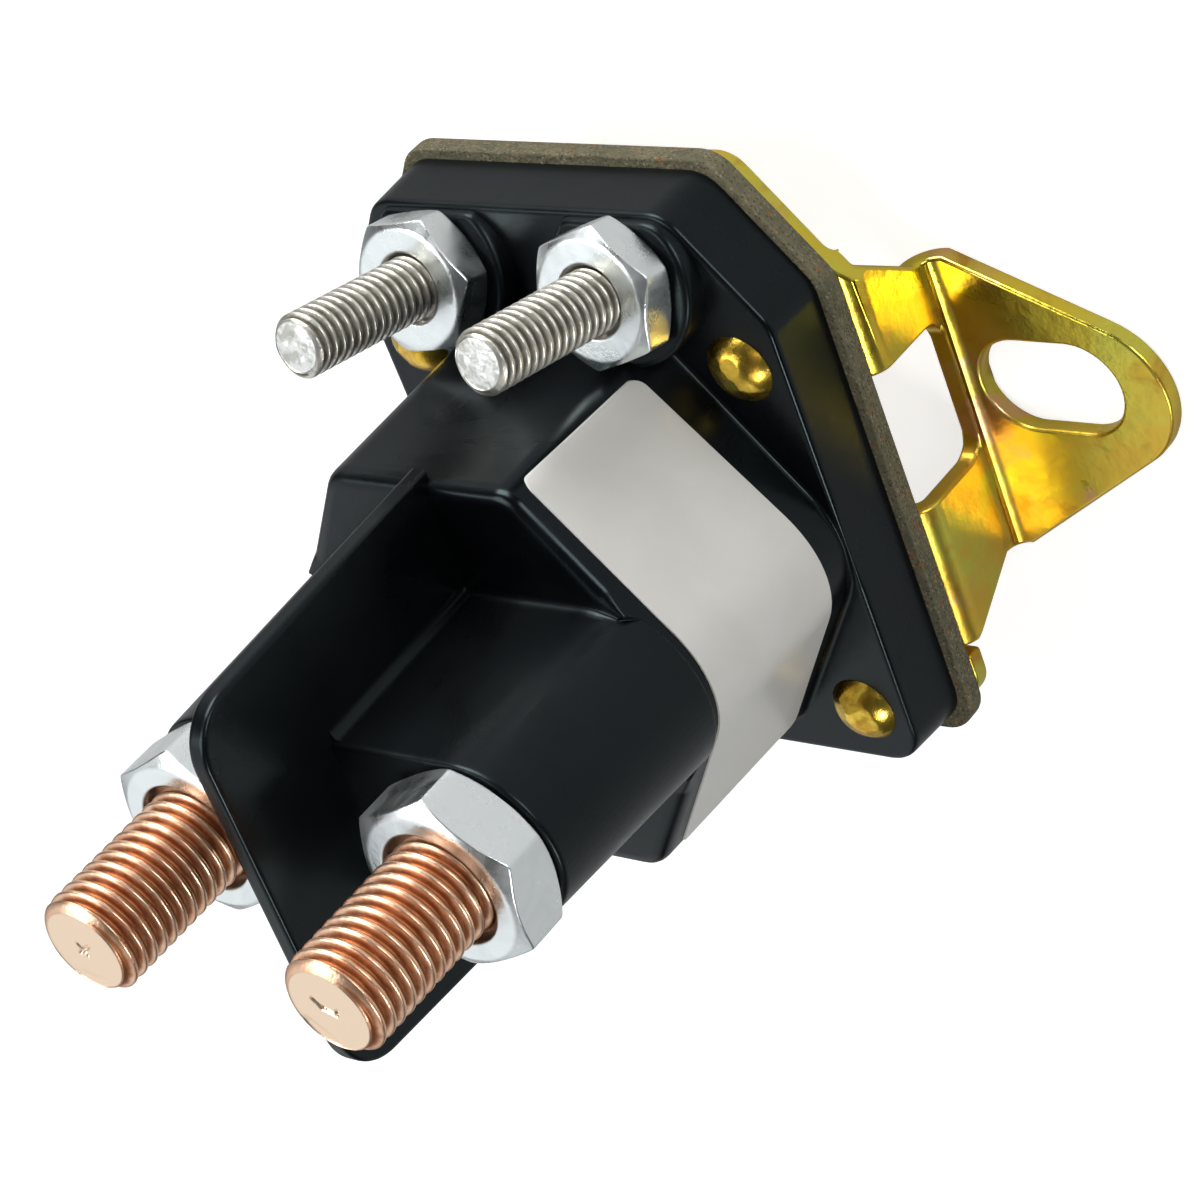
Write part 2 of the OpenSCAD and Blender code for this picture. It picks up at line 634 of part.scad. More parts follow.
// Rivet from its dome on the flange to its formed head under the plate
module rivet() {
    dome_r = (pow(rivet_head_d / 2, 2) + pow(rivet_head_h, 2)) / (2 * rivet_head_h);
    translate([0, 0, flange_h]) intersection() {
        translate([0, 0, rivet_head_h - dome_r]) sphere(r = dome_r);
        cylinder(d = rivet_head_d, h = rivet_head_h);
    }
    translate([0, 0, -gasket_t - sheet_t - rivet_tail_h / 2]) cylinder(d = rivet_d, h = flange_h + gasket_t + sheet_t + rivet_tail_h);
    translate([0, 0, -gasket_t - sheet_t - rivet_tail_h + tail_edge]) cylinder(d = rivet_head_d, h = rivet_tail_h - tail_edge);
    translate([0, 0, -gasket_t - sheet_t - rivet_tail_h])
        cylinder(d1 = rivet_head_d - 2 * tail_edge, d2 = rivet_head_d, h = tail_edge);
}
module rivets() color([0.8, 0.62, 0.25]) at_body() at_rivets() rivet();

// Bar with a shank from low, full thickness from start, and a chamfered end at high
module stud_bar(shank, d, tip, low, start, high) {
    translate([0, 0, low]) cylinder(d = shank, h = start - low);
    translate([0, 0, start]) cylinder(d = d, h = high - start - tip);
    translate([0, 0, high - tip]) cylinder(d1 = d, d2 = d - 2 * tip, h = tip);
}
// Six-sided nut whose corners are turned off on both faces
module hex_nut(af, h, bore, turn) rotate([0, 0, turn]) difference() {
    face_r = af / 2 * nut_face_share;
    wide_r = af / 2 / cos(30) + lap;
    intersection() {
        cylinder(r = af / 2 / cos(30), h = h, $fn = 6);
        rotate([0, 0, seam_turn]) rotate_extrude() polygon([[0, 0], [face_r, 0],
            [wide_r, (wide_r - face_r) * tan(30)], [wide_r, h - (wide_r - face_r) * tan(30)],
            [face_r, h], [0, h]]);
    }
    translate([0, 0, -over]) cylinder(d = bore, h = h + 2 * over);
    translate([0, 0, h - mouth]) cylinder(d1 = bore, d2 = bore + 2 * mouth, h = mouth);
}
module battery_stud(side) at_body() translate([side * half_stud, 0, 0]) {
    stud_bar(stud_shank_d, stud_d, stud_tip, head_low, boss_top + stud_nut_h + stud_runout, boss_top + stud_out);
    translate([0, 0, head_low]) cylinder(d = stud_head_d, h = chamber_h - head_low);
    neck(0);
}
module battery_stud_left() color([0.8, 0.45, 0.25]) battery_stud(-1);
module battery_stud_right() color([0.8, 0.45, 0.25]) battery_stud(1);
module battery_nut_left() color([0.78, 0.8, 0.82]) at_body() translate([-half_stud, 0, boss_top])
    hex_nut(stud_nut_af, stud_nut_h, stud_shank_d + 2 * fit, stud_nut_turn_left);
module battery_nut_right() color([0.78, 0.8, 0.82]) at_body() translate([half_stud, 0, boss_top])
    hex_nut(stud_nut_af, stud_nut_h, stud_shank_d + 2 * fit, stud_nut_turn_right);

module coil_stud(side) at_body() {
    at_coil_stud(side) stud_bar(coil_shank_d, coil_stud_d, coil_stud_tip, coil_head_low, coil_nut_h + coil_runout, coil_tip);
    coil_head(side, 0, 0);
}
module coil_stud_left() color([0.7, 0.68, 0.62]) coil_stud(-1);
module coil_stud_right() color([0.7, 0.68, 0.62]) coil_stud(1);
module coil_nut(side, turn) at_body() at_coil_stud(side) hex_nut(coil_nut_af, coil_nut_h, coil_shank_d + 2 * fit, turn);
module coil_nut_left() color([0.75, 0.73, 0.68]) coil_nut(-1, coil_nut_turn_left);
module coil_nut_right() color([0.75, 0.73, 0.68]) coil_nut(1, coil_nut_turn_right);

// Label wrapped round the body's right-hand end
module label() color([0.85, 0.84, 0.8]) at_body() intersection() {
    difference() {
        body_sides(label_t);
        body_sides(0);
    }
    rotate([90, 0, 90]) linear_extrude(height = body_diag) polygon(rounded([
        [-label_rear, label_low_rear], [label_front, label_low_front],
        [label_front, label_high_front], [-label_rear, label_high_rear]],
        [label_r, label_r, label_r, label_r]));
}

module coil_can() color([0.6, 0.6, 0.58]) at_body() difference() {
    translate([0, 0, can_low]) cylinder(r = can_r, h = can_rise - can_low);
    translate([0, 0, can_low - over]) cylinder(r = can_inner_r, h = lid_low - can_low + over);
    translate([0, 0, lid_low - over]) cylinder(r = core_r + fit, h = can_lid + 2 * over);
    for (s = [-1, 1]) translate([s * coil_x - lead_r - lead_play, 0, can_low - over])
        cube([2 * (lead_r + lead_play), can_r + over, lead_z + lead_r + lead_play - can_low + over]);
}
module flux_washer() color([0.62, 0.62, 0.6]) at_body() translate([0, 0, can_low]) difference() {
    cylinder(r = can_inner_r - fit, h = flux_t);
    translate([0, 0, -over]) cylinder(r = tube_r + fit, h = flux_t + 2 * over);
}
module bobbin() color([0.9, 0.88, 0.8]) at_body() difference() {
    union() {
        translate([0, 0, bobbin_low]) cylinder(r = bobbin_tube_r, h = bobbin_high - bobbin_low);
        translate([0, 0, bobbin_low]) cylinder(r = bobbin_r, h = bobbin_flange);
        translate([0, 0, bobbin_high - bobbin_flange]) cylinder(r = bobbin_r, h = bobbin_flange);
    }
    translate([0, 0, bobbin_low - over]) cylinder(r = bobbin_bore, h = bobbin_high - bobbin_low + 2 * over);
}
module ring(outer, inner, low, high) translate([0, 0, low]) difference() {
    cylinder(r = outer, h = high - low);
    translate([0, 0, -over]) cylinder(r = inner, h = high - low + 2 * over);
}
module coil_winding() color([0.72, 0.4, 0.2]) at_body() ring(wind_r, bobbin_tube_r, wind_low, wind_high);
module coil_tape() color([0.85, 0.75, 0.3]) at_body() ring(tape_r, wind_r, wind_low, wind_high);
module coil_lead(side) at_body() translate([side * coil_x, lead_out, lead_z]) rotate([90, 0, 0]) cylinder(r = lead_r, h = lead_out - lead_in);
module coil_lead_left() color([0.7, 0.15, 0.1]) coil_lead(-1);
module coil_lead_right() color([0.7, 0.15, 0.1]) coil_lead(1);

module fixed_core() color([0.55, 0.55, 0.55]) at_body() difference() {
    union() {
        translate([0, 0, core_face]) cylinder(r = core_r, h = core_top - core_face);
        translate([0, 0, can_rise]) cylinder(r = core_flange_r, h = core_top - can_rise);
    }
    translate([0, 0, core_face - over]) cylinder(r = rod_r + run_fit, h = core_top - core_face + 2 * over);
}
module guide_tube() color([0.75, 0.62, 0.3]) at_body() ring(tube_r, core_r + run_fit, can_low, lid_low);
module stop_pad() color([0.1, 0.1, 0.1]) at_body() translate([0, 0, can_low]) cylinder(r = pad_r, h = pad_t);

module plunger() color([0.65, 0.65, 0.66]) at_body() difference() {
    translate([0, 0, plunger_low]) cylinder(r = core_r, h = plunger_top - plunger_low);
    translate([0, 0, well_floor]) cylinder(r = well_r, h = plunger_top - well_floor + over);
    translate([0, 0, rod_foot]) cylinder(r = rod_r, h = well_floor - rod_foot + over);
}
module push_rod() color([0.7, 0.7, 0.72]) at_body() difference() {
    union() {
        translate([0, 0, rod_foot]) cylinder(r = rod_r, h = rod_high - rod_foot);
        translate([0, 0, collar_low]) cylinder(r = collar_r, h = spring_low - collar_low);
    }
    ring(rod_r + over, rod_r - groove_depth, clip_low, clip_high);
}
module retaining_clip() color([0.3, 0.3, 0.32]) at_body() difference() {
    ring(clip_r, rod_r - groove_depth, clip_low, clip_high);
    translate([-clip_mouth / 2, 0, clip_low - over]) cube([clip_mouth, clip_r + over, clip_t + 2 * over]);
}

// Centre of a spring wire after step k of n, between low and high
function wire_at(r, low, high, turns, k) = let (n = turns * turn_steps, a = 360 * k / turn_steps)
    [r * cos(a), r * sin(a), low + (high - low) * k / n];
// Least clear gap between neighbouring turns, measured on the wire's centres
function turn_gap(r, low, high, turns) = min([for (k = [0:turns * turn_steps - turn_steps])
    norm(wire_at(r, low, high, turns, k + turn_steps) - wire_at(r, low, high, turns, k))]) - wire_d;
module spring(r, low, high, turns) {
    n = turns * turn_steps;
    pts = [for (k = [0:n], j = [0:wire_sides - 1]) let (
        a = 360 * k / turn_steps,
        b = 360 * j / wire_sides,
        c = wire_at(r, low + wire_d / 2, high - wire_d / 2, turns, k)
    ) c + wire_d / 2 * [cos(b) * cos(a), cos(b) * sin(a), sin(b)]];
    sides = [for (k = [0:n - 1], j = [0:wire_sides - 1]) let (
        p = k * wire_sides + j,
        q = k * wire_sides + (j + 1) % wire_sides
    ) each [[p, p + wire_sides, q], [q, p + wire_sides, q + wire_sides]]];
    first = [for (j = [1:wire_sides - 2]) [0, j, j + 1]];
    last = [for (j = [1:wire_sides - 2]) [n * wire_sides, n * wire_sides + j + 1, n * wire_sides + j]];
    polyhedron(points = pts, faces = concat(sides, first, last));
}
echo(return_spring_gap = turn_gap(return_spring_r, well_floor + wire_d / 2, core_face - wire_d / 2, return_turns));
echo(contact_spring_gap = turn_gap(contact_spring_r, spring_low + wire_d / 2, washer_low - wire_d / 2, contact_turns));
module return_spring() color([0.6, 0.6, 0.62]) at_body() spring(return_spring_r, well_floor, core_face, return_turns);
module contact_spring() color([0.6, 0.6, 0.62]) at_body() spring(contact_spring_r, spring_low, washer_low, contact_turns);

module contact_bar() color([0.85, 0.5, 0.3]) at_body() difference() {
    stadium(bar_w / 2, half_stud, bar_low, bar_high);
    translate([0, 0, bar_low - over]) cylinder(r = sleeve_r + fit, h = bar_high - bar_low + 2 * over);
}
module upper_insulator() color([0.6, 0.35, 0.15]) at_body() ring(washer_r, rod_r + run_fit, bar_high, washer_high);
module lower_insulator() color([0.6, 0.35, 0.15]) at_body() {
    ring(washer_r, rod_r + run_fit, washer_low, bar_low);
    ring(sleeve_r, rod_r + run_fit, washer_low, bar_high - pocket_fit);
}

housing();
gasket();
mounting_bracket();
rivets();
battery_stud_left();
battery_stud_right();
battery_nut_left();
battery_nut_right();
coil_stud_left();
coil_stud_right();
coil_nut_left();
coil_nut_right();
label();
coil_can();
flux_washer();
bobbin();
coil_winding();
coil_tape();
coil_lead_left();
coil_lead_right();
fixed_core();
guide_tube();
plunger();
push_rod();
return_spring();
contact_spring();
contact_bar();
upper_insulator();
lower_insulator();
retaining_clip();
stop_pad();
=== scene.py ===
# %% [markdown]
# # A starter solenoid, dressed for its picture
#
# The solids of this part were built in CAD. This lesson loads them as a fixed
# frame and gives each piece that shows the shape and finish of the real one: threads on the
# studs, soft edges on the moulding, hammered rivets and yellow plated sheet. Nothing is
# moved: every new piece takes its numbers from the same drawing as the solids.

import math

import bmesh
import bpy
import numpy as np
from mathutils import Matrix, Vector
from mathutils.bvhtree import BVHTree


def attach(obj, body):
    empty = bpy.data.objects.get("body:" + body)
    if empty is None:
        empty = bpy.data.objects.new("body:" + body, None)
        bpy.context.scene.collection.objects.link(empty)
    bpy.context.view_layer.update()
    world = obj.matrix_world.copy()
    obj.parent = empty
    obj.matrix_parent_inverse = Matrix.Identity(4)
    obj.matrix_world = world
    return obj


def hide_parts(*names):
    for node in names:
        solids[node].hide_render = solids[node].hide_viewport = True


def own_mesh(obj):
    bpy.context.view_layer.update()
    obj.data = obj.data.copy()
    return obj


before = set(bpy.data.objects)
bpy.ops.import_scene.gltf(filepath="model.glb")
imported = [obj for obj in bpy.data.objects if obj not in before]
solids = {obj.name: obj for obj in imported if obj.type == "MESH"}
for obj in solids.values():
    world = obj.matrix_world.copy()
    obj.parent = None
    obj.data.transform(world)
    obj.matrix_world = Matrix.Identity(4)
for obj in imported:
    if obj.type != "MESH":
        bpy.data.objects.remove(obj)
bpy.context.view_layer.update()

# %% [markdown]
# ## From numbers to a mesh
#
# Most pieces here are skins stretched over rings. A ring is a closed line of points, and a
# skin joins each point to its neighbour and to the same point of the next ring. Blender could
# make such shapes with modifiers on a cylinder, but worked out as arrays each ring can have
# its own outline, so a round, a six-sided and a rounded outline can follow each other.

# %% The part's own measures
MM = 0.001
BODY_AXIS = np.array([0.0, -3.55, 11.7])  # the body's axis on the gasket, from the part's origin

# Heights above the gasket
FLANGE_TOP, BODY_TOP, BOSS_TOP = 5.4, 23.6, 39.6
LEDGE = 22.6  # where the boss overhangs the body
CAN_TOP, CHAMBER_LOW, CHAMBER_HIGH, POCKET_TOP = 17.5, 21.4, 33.0, 34.5

# Flange, body and boss in plan
SLANT = math.radians(34.6)
FLANGE_HALF, FLANGE_REAR, FLANGE_FRONT, FRONT_HALF = 19.15, 19.8, 27.2, 13.1
LEFT_OUT = 0.8  # the flange's left front corner stands out this much more than the right one
BODY_FLAT, BODY_SLANT = 16.9, 16.7

# The studs' seats; the coil studs lean towards the front
STUD_X = 11.46
COIL_X, COIL_Y, COIL_Z, LEAN = 8.4, 22.15, 7.0, math.radians(12.9)


def in_frame(points):
    """Millimetres from the body axis on the gasket become metres from the part's origin:
    add BODY_AXIS, times a thousandth."""
    return (np.asarray(points, float) + BODY_AXIS) * MM


def full_turn(count):
    """count angles that divide a circle evenly: 2 pi k / count."""
    return np.linspace(0, 2 * np.pi, count, endpoint=False)


def ring(distance, height, angles):
    """A ring about the body axis: (distance cos a, distance sin a, height)."""
    distance = np.broadcast_to(distance, len(angles))
    height = np.broadcast_to(height, len(angles))
    return np.stack([distance * np.cos(angles), distance * np.sin(angles), height], -1)


def rings_of(stops, angles):
    """One ring for each (distance, height)."""
    return [ring(distance, height, angles) for distance, height in stops]


# %% A skin over rings
def skin(rings, loop=False, flat=False):
    """Faces over rings of n points: point j of ring i joins point j + 1 and ring i + 1.
    An open skin is closed by a fan of triangles to the middle of its first and last ring,
    or, where these are flat, by one face each; a loop joins its last ring to its first.
    The sum of p.(q x r) over its triangles is six times its volume, so a negative one
    means that the faces look inwards, and they are turned round."""
    rings = np.asarray(rings, float)
    m, n, _ = rings.shape
    i, j = np.meshgrid(np.arange(m if loop else m - 1), np.arange(n), indexing="ij")
    i2, j2 = (i + 1) % m, (j + 1) % n
    quads = np.stack([i * n + j, i * n + j2, i2 * n + j2, i2 * n + j], -1).reshape(-1, 4)
    points, faces = rings.reshape(-1, 3), quads.tolist()
    if flat:
        faces += [list(range(n))[::-1], list(range((m - 1) * n, m * n))]
    elif not loop:
        first, last = np.arange(n), (m - 1) * n + np.arange(n)
        faces += np.stack([np.full(n, m * n), np.roll(first, -1), first], -1).tolist()
        faces += np.stack([np.full(n, m * n + 1), last, np.roll(last, -1)], -1).tolist()
        points = np.vstack([points, rings[0].mean(0), rings[-1].mean(0)])
    halves = [f[:3] for f in faces] + [[f[0], f[2], f[3]] for f in faces if len(f) == 4]
    p, q, r = np.moveaxis(points[np.array(halves)], 1, 0)
    if np.einsum("ij,ij->i", p, np.cross(q, r)).sum() < 0:
        faces = [f[::-1] for f in faces]
    return points, faces


def together(parts):
    """Several skins as one: each skin's numbering starts where the last one ended."""
    starts = np.cumsum([0] + [len(p) for p, _ in parts])
    faces = [[v + int(s) for v in f] for (_, fs), s in zip(parts, starts) for f in fs]
    return np.vstack([p for p, _ in parts]), faces


# %% Rounding the corners of a path of rings
LONGEST_CUT, GUARD, LONGEST_GUARD = 0.44, 0.06, 0.05


def soften(path, cuts, steps=5):
    """At each inner ring K the path leaves its straight stretch a cut before K, at A, and
    joins the next a cut after it, at B. Between them lies (1-t)^2 A + 2t(1-t) K + t^2 B.
    A cut takes at most LONGEST_CUT of a stretch, and a guard ring just outside A and B
    keeps the shading of the flat faces flat."""
    path = np.asarray(path, float)
    out = [path[0]]
    for before, here, after, cut in zip(path[:-2], path[1:-1], path[2:], cuts):
        to_a, to_b = before - here, after - here
        len_a = np.linalg.norm(to_a, axis=1, keepdims=True)
        len_b = np.linalg.norm(to_b, axis=1, keepdims=True)
        to_a, to_b = to_a / np.maximum(len_a, 1e-9), to_b / np.maximum(len_b, 1e-9)
        cut = np.minimum(cut, LONGEST_CUT * np.minimum(len_a, len_b))
        a, b = here + to_a * cut, here + to_b * cut
        out.append(a + to_a * np.minimum(GUARD, LONGEST_GUARD * len_a))
        for t in np.linspace(0, 1, steps + 1):
            out.append((1 - t) ** 2 * a + 2 * t * (1 - t) * here + t * t * b)
        out.append(b + to_b * np.minimum(GUARD, LONGEST_GUARD * len_b))
    return np.array(out + [path[-1]])


# %% Putting a piece into the scene
def new_object(name, data):
    """An object of the scene at the origin."""
    made = bpy.data.objects.new(name, data)
    bpy.context.scene.collection.objects.link(made)
    return made


def add_piece(name, skinned, finish, slot, stands_for, sharp, body="base", **values):
    """A mesh object with its place in its points; values are kept per point as attributes."""
    points, faces = skinned
    mesh = bpy.data.meshes.new(name)
    mesh.from_pydata(in_frame(points).tolist(), [], faces)
    mesh.shade_smooth()
    mesh.set_sharp_from_angle(angle=math.radians(sharp))
    for label, numbers in values.items():
        attribute = mesh.attributes.new(label, "FLOAT", "POINT")
        attribute.data.foreach_set("value", np.asarray(numbers, np.float32))
    mesh.materials.append(finish)
    piece = new_object(name, mesh)
    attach(piece, body)
    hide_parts(*stands_for)
    print(name, len(mesh.vertices), "points", len(mesh.polygons), "faces")
    return piece


# %% [markdown]
# ## Effects that several finishes share
#
# Plated steel, copper and moulded plastic all vary a little from place to place. Rather than
# paint that by hand or repeat the same nodes in each material, each effect is one node group
# with named inputs, placed in every finish with its own values.

# %% Making a node group
def effect(name, inputs, output):
    """A shader node group with one output; its inputs are numbers or vectors by name."""
    group = bpy.data.node_groups.new(name, "ShaderNodeTree")
    for label, value in inputs.items():
        kind = "NodeSocketVector" if isinstance(value, tuple) else "NodeSocketFloat"
        socket = group.interface.new_socket(label, in_out="INPUT", socket_type=kind)
        socket.default_value = value
    group.interface.new_socket(output, in_out="OUTPUT", socket_type="NodeSocketFloat")
    print("effect", name)
    enter, leave = group.nodes.new("NodeGroupInput"), group.nodes.new("NodeGroupOutput")
    return group, enter.outputs, leave.inputs


def step(tree, kind, links=(), **settings):
    """One shader node. links are (input, socket) pairs; settings name node properties or,
    failing that, input values."""
    node = tree.nodes.new("ShaderNode" + kind)
    for key, value in settings.items():
        if hasattr(node, key):
            setattr(node, key, value)
        else:
            node.inputs[key.replace("_", " ")].default_value = value
    for key, socket in links:
        tree.links.new(socket, node.inputs[key])
    return node


def in_object(tree, operation, change):
    """The place in the object, with a shift added or multiplied by a stretch."""
    place = step(tree, "TexCoord").outputs["Object"]
    links = [(0, place), (1, change)]
    return step(tree, "VectorMath", links, operation=operation).outputs[0]


# %% Cloudy patches
UNMOVED, EVEN = (0.0, 0.0, 0.0), (1.0, 1.0, 1.0)
PATCHES, enter, leave = effect(
    "cloudy_patches", {"Size": 200.0, "Low": 0.4, "High": 0.6, "Shift": UNMOVED}, "Mask"
)
cloud = step(
    PATCHES, "TexNoise",
    [("Vector", in_object(PATCHES, "ADD", enter["Shift"])), ("Scale", enter["Size"])],
    Detail=4.0, Roughness=0.55, Distortion=0.6,
)
spread = step(
    PATCHES, "MapRange",
    [("Value", cloud.outputs["Fac"]), ("From Min", enter["Low"]), ("From Max", enter["High"])],
    interpolation_type="SMOOTHSTEP",
)
PATCHES.links.new(spread.outputs["Result"], leave["Mask"])

# %% Grain, which is brushed when it is stretched
GRAIN, enter, leave = effect("stretched_grain", {"Size": 3000.0, "Stretch": EVEN}, "Height")
noise = step(
    GRAIN, "TexNoise",
    [("Vector", in_object(GRAIN, "MULTIPLY", enter["Stretch"])), ("Scale", enter["Size"])],
    Detail=3.0, Roughness=0.6,
)
GRAIN.links.new(noise.outputs["Fac"], leave["Height"])

# %% Small separate flecks
FLECKS, enter, leave = effect("flecks", {"Size": 1500.0, "Stretch": EVEN, "Share": 0.3}, "Mask")
cells = step(
    FLECKS, "TexVoronoi",
    [("Vector", in_object(FLECKS, "MULTIPLY", enter["Stretch"])), ("Scale", enter["Size"])],
    Randomness=1.0,
)
chosen = step(FLECKS, "SeparateColor", [(0, cells.outputs["Color"])]).outputs[0]
picked = step(FLECKS, "Math", [(0, chosen), (1, enter["Share"])], operation="LESS_THAN")
inside = step(
    FLECKS, "MapRange", [("Value", cells.outputs["Distance"])], From_Min=0.55, From_Max=0.25
)
both = step(
    FLECKS, "Math", [(0, picked.outputs[0]), (1, inside.outputs["Result"])], operation="MULTIPLY"
)
FLECKS.links.new(both.outputs[0], leave["Mask"])

# %% Dirt in the grooves of a thread
SOIL_BLUR, SOIL_WANDER = 0.35, 0.18
SOIL, enter, leave = effect("groove_soil", {"Reach": 0.5}, "Mask")
depth = step(SOIL, "Attribute", attribute_name="groove").outputs["Fac"]
place = step(SOIL, "TexCoord").outputs["Object"]
noise = step(SOIL, "TexNoise", [("Vector", place)], Scale=900.0, Detail=3.0)
uneven = step(
    SOIL, "MapRange", [("Value", noise.outputs["Fac"])],
    From_Min=0.3, From_Max=0.7, To_Min=-SOIL_WANDER, To_Max=SOIL_WANDER,
)
total = step(SOIL, "Math", [(0, depth), (1, uneven.outputs["Result"])], operation="ADD")
low = step(SOIL, "Math", [(0, enter["Reach"])], operation="SUBTRACT")
high = step(SOIL, "Math", [(0, enter["Reach"])], operation="ADD")
low.inputs[1].default_value = high.inputs[1].default_value = SOIL_BLUR
mask = step(
    SOIL, "MapRange",
    [("Value", total.outputs[0]), ("From Min", low.outputs[0]), ("From Max", high.outputs[0])],
    interpolation_type="SMOOTHSTEP",
)
SOIL.links.new(mask.outputs["Result"], leave["Mask"])


# %% Tools for writing a finish
class Finish:
    """A material under construction: its Principled shader, and short ways to place effects
    and to mix between two values."""

    def __init__(self, name, **constants):
        self.material = bpy.data.materials.new(name)
        self.material.use_nodes = True
        self.tree = self.material.node_tree
        self.shader = self.tree.nodes["Principled BSDF"]
        for key, value in constants.items():
            self.shader.inputs[key.replace("_", " ")].default_value = value
        print("finish", name)

    def use(self, group, **values):
        """The output of an effect, placed with these values."""
        node = self.tree.nodes.new("ShaderNodeGroup")
        node.node_tree = group
        for key, value in values.items():
            node.inputs[key].default_value = value
        return node.outputs[0]

    def per_point(self, name):
        """A value kept with each point of the mesh."""
        return step(self.tree, "Attribute", attribute_name=name).outputs["Fac"]

    def colour(self, mask, a, b):
        """a where the mask is 0 and b where it is 1; each is a colour or a colour's socket."""
        node = self.tree.nodes.new("ShaderNodeMix")
        node.data_type = "RGBA"
        self.tree.links.new(mask, node.inputs[0])
        for socket, value in ((node.inputs[6], a), (node.inputs[7], b)):
            if isinstance(value, tuple):
                socket.default_value = (*value, 1.0)
            else:
                self.tree.links.new(value, socket)
        return node.outputs[2]

    def number(self, mask, a, b):
        """a + (b - a) mask."""
        node = step(self.tree, "MapRange", [("Value", mask)], To_Min=a, To_Max=b)
        return node.outputs["Result"]

    def bump(self, height, distance, strength, under=None):
        """A normal tilted by the height's slope, on top of another bump if there is one."""
        links = [("Height", height)] + ([] if under is None else [("Normal", under)])
        node = step(self.tree, "Bump", links, Distance=distance, Strength=strength)
        return node.outputs["Normal"]

    def set(self, **sockets):
        """Links sockets to the shader's inputs of the same name."""
        for key, socket in sockets.items():
            self.tree.links.new(socket, self.shader.inputs[key.replace("_", " ")])


# %% [markdown]
# ## The black moulding
#
# The real housing is glass-filled nylon: nearly black, satin, with broad soft highlights. Its
# colour hardly varies, so what makes it look real is its gloss, which is cloudier in some
# places, and the fine ripple that a moulded wall keeps.

# %% Moulded plastic finish
COOL = (0.72, 0.94, 1.0, 1.0)
plastic = Finish("black_moulded_nylon", Specular_IOR_Level=0.28, Specular_Tint=COOL)
sheen = plastic.use(PATCHES, Size=70.0, Low=0.35, High=0.65)
ripple = plastic.use(GRAIN, Size=260.0)
pores = plastic.use(GRAIN, Size=5200.0)
plastic.set(
    Base_Color=plastic.colour(sheen, (0.0016, 0.0018, 0.0024), (0.0030, 0.0034, 0.0042)),
    Roughness=plastic.number(sheen, 0.24, 0.34),
    Normal=plastic.bump(pores, 0.00001, 0.35, plastic.bump(ripple, 0.00012, 0.25)),
)

# %% [markdown]
# ## Outlines
#
# The flange, the body and the boss are straight-sided shapes with rounded corners. Each is
# known by its reach: how far it stretches from a centre in each direction. With the same
# directions for every ring, flange, body and stud boss can follow each other in one skin.

# %% A rounded outline and its reach
def rounded(corners, radii, steps=14):
    """Each corner becomes an arc, whose centre lies radius / sin(half the corner's angle)
    along the corner's bisector."""
    corners = np.asarray(corners, float)
    arcs = []
    for p, a, b, r in zip(corners, np.roll(corners, 1, 0), np.roll(corners, -1, 0), radii):
        u, w = (a - p) / np.linalg.norm(a - p), (b - p) / np.linalg.norm(b - p)
        half = math.acos(float(u @ w)) / 2
        centre = p + (u + w) / np.linalg.norm(u + w) * r / math.sin(half)
        first = p + u * r / math.tan(half) - centre
        start = math.atan2(first[1], first[0])
        turn = start + (math.pi - 2 * half) * np.linspace(0, 1, steps + 1)
        arcs.append(centre + r * np.stack([np.cos(turn), np.sin(turn)], -1))
    return np.vstack(arcs)


def reach(outline, angles, centre=(0.0, 0.0)):
    """Where the ray along u meets the side from p to q of a convex outline: its length is
    cross(p, q - p) / cross(u, q - p)."""
    p = np.asarray(outline, float) - centre
    around = np.unwrap(np.arctan2(p[:, 1], p[:, 0]))
    around, p = np.append(around, around[0] + 2 * np.pi), np.vstack([p, p[:1]])
    seen = around[0] + np.mod(np.asarray(angles) - around[0], 2 * np.pi)
    k = np.clip(np.searchsorted(around, seen, "right") - 1, 0, len(p) - 2)
    a, d = p[k], p[k + 1] - p[k]
    across = np.cos(angles) * d[:, 1] - np.sin(angles) * d[:, 0]
    return (a[:, 0] * d[:, 1] - a[:, 1] * d[:, 0]) / across


def smooth_min(a, b, sharpness):
    """The lesser of two lengths with a soft change between them: -log(e^-sa + e^-sb) / s."""
    return -np.log(np.exp(-sharpness * a) + np.exp(-sharpness * b)) / sharpness


# %% The outlines of flange, body and stud boss
def flange_outline(grow):
    """A straight-sided plate whose two front corners are slanted, all sides grown by some.
    The slanted side is the line x cos s + y sin s = d, with s the slant."""
    s, c = math.sin(SLANT), math.cos(SLANT)
    d = FRONT_HALF * c + FLANGE_FRONT * s + grow
    half, rear, front = FLANGE_HALF + grow, -FLANGE_REAR - grow, FLANGE_FRONT + grow
    x, y = (d - front * s) / c, (d - half * c) / s
    left = [[-x - LEFT_OUT / c, front], [-half, y + LEFT_OUT / s]]
    return rounded([[half, rear], [half, y], [x, front], *left, [-half, rear]], [3.0] * 6)


def body_outline(grow):
    """Two straight sides BODY_FLAT from the axis and four slanted ones BODY_SLANT from it."""
    flat, d = BODY_FLAT + grow, BODY_SLANT + grow
    x, tip = (d - flat * math.sin(SLANT)) / math.cos(SLANT), d / math.cos(SLANT)
    end, side = 8.2 + grow, 3.0 + grow
    corners = [[tip, 0], [x, flat], [-x, flat], [-tip, 0], [-x, -flat], [x, -flat]]
    return rounded(corners, [end, side, side, end, side, side])


def stadium(radius):
    """Two half circles about the studs, joined by straight sides."""
    turn = np.linspace(-np.pi / 2, np.pi / 2, 41)
    arc = radius * np.stack([np.cos(turn), np.sin(turn)], -1)
    return np.vstack([arc + [STUD_X, 0], -arc - [STUD_X, 0]])


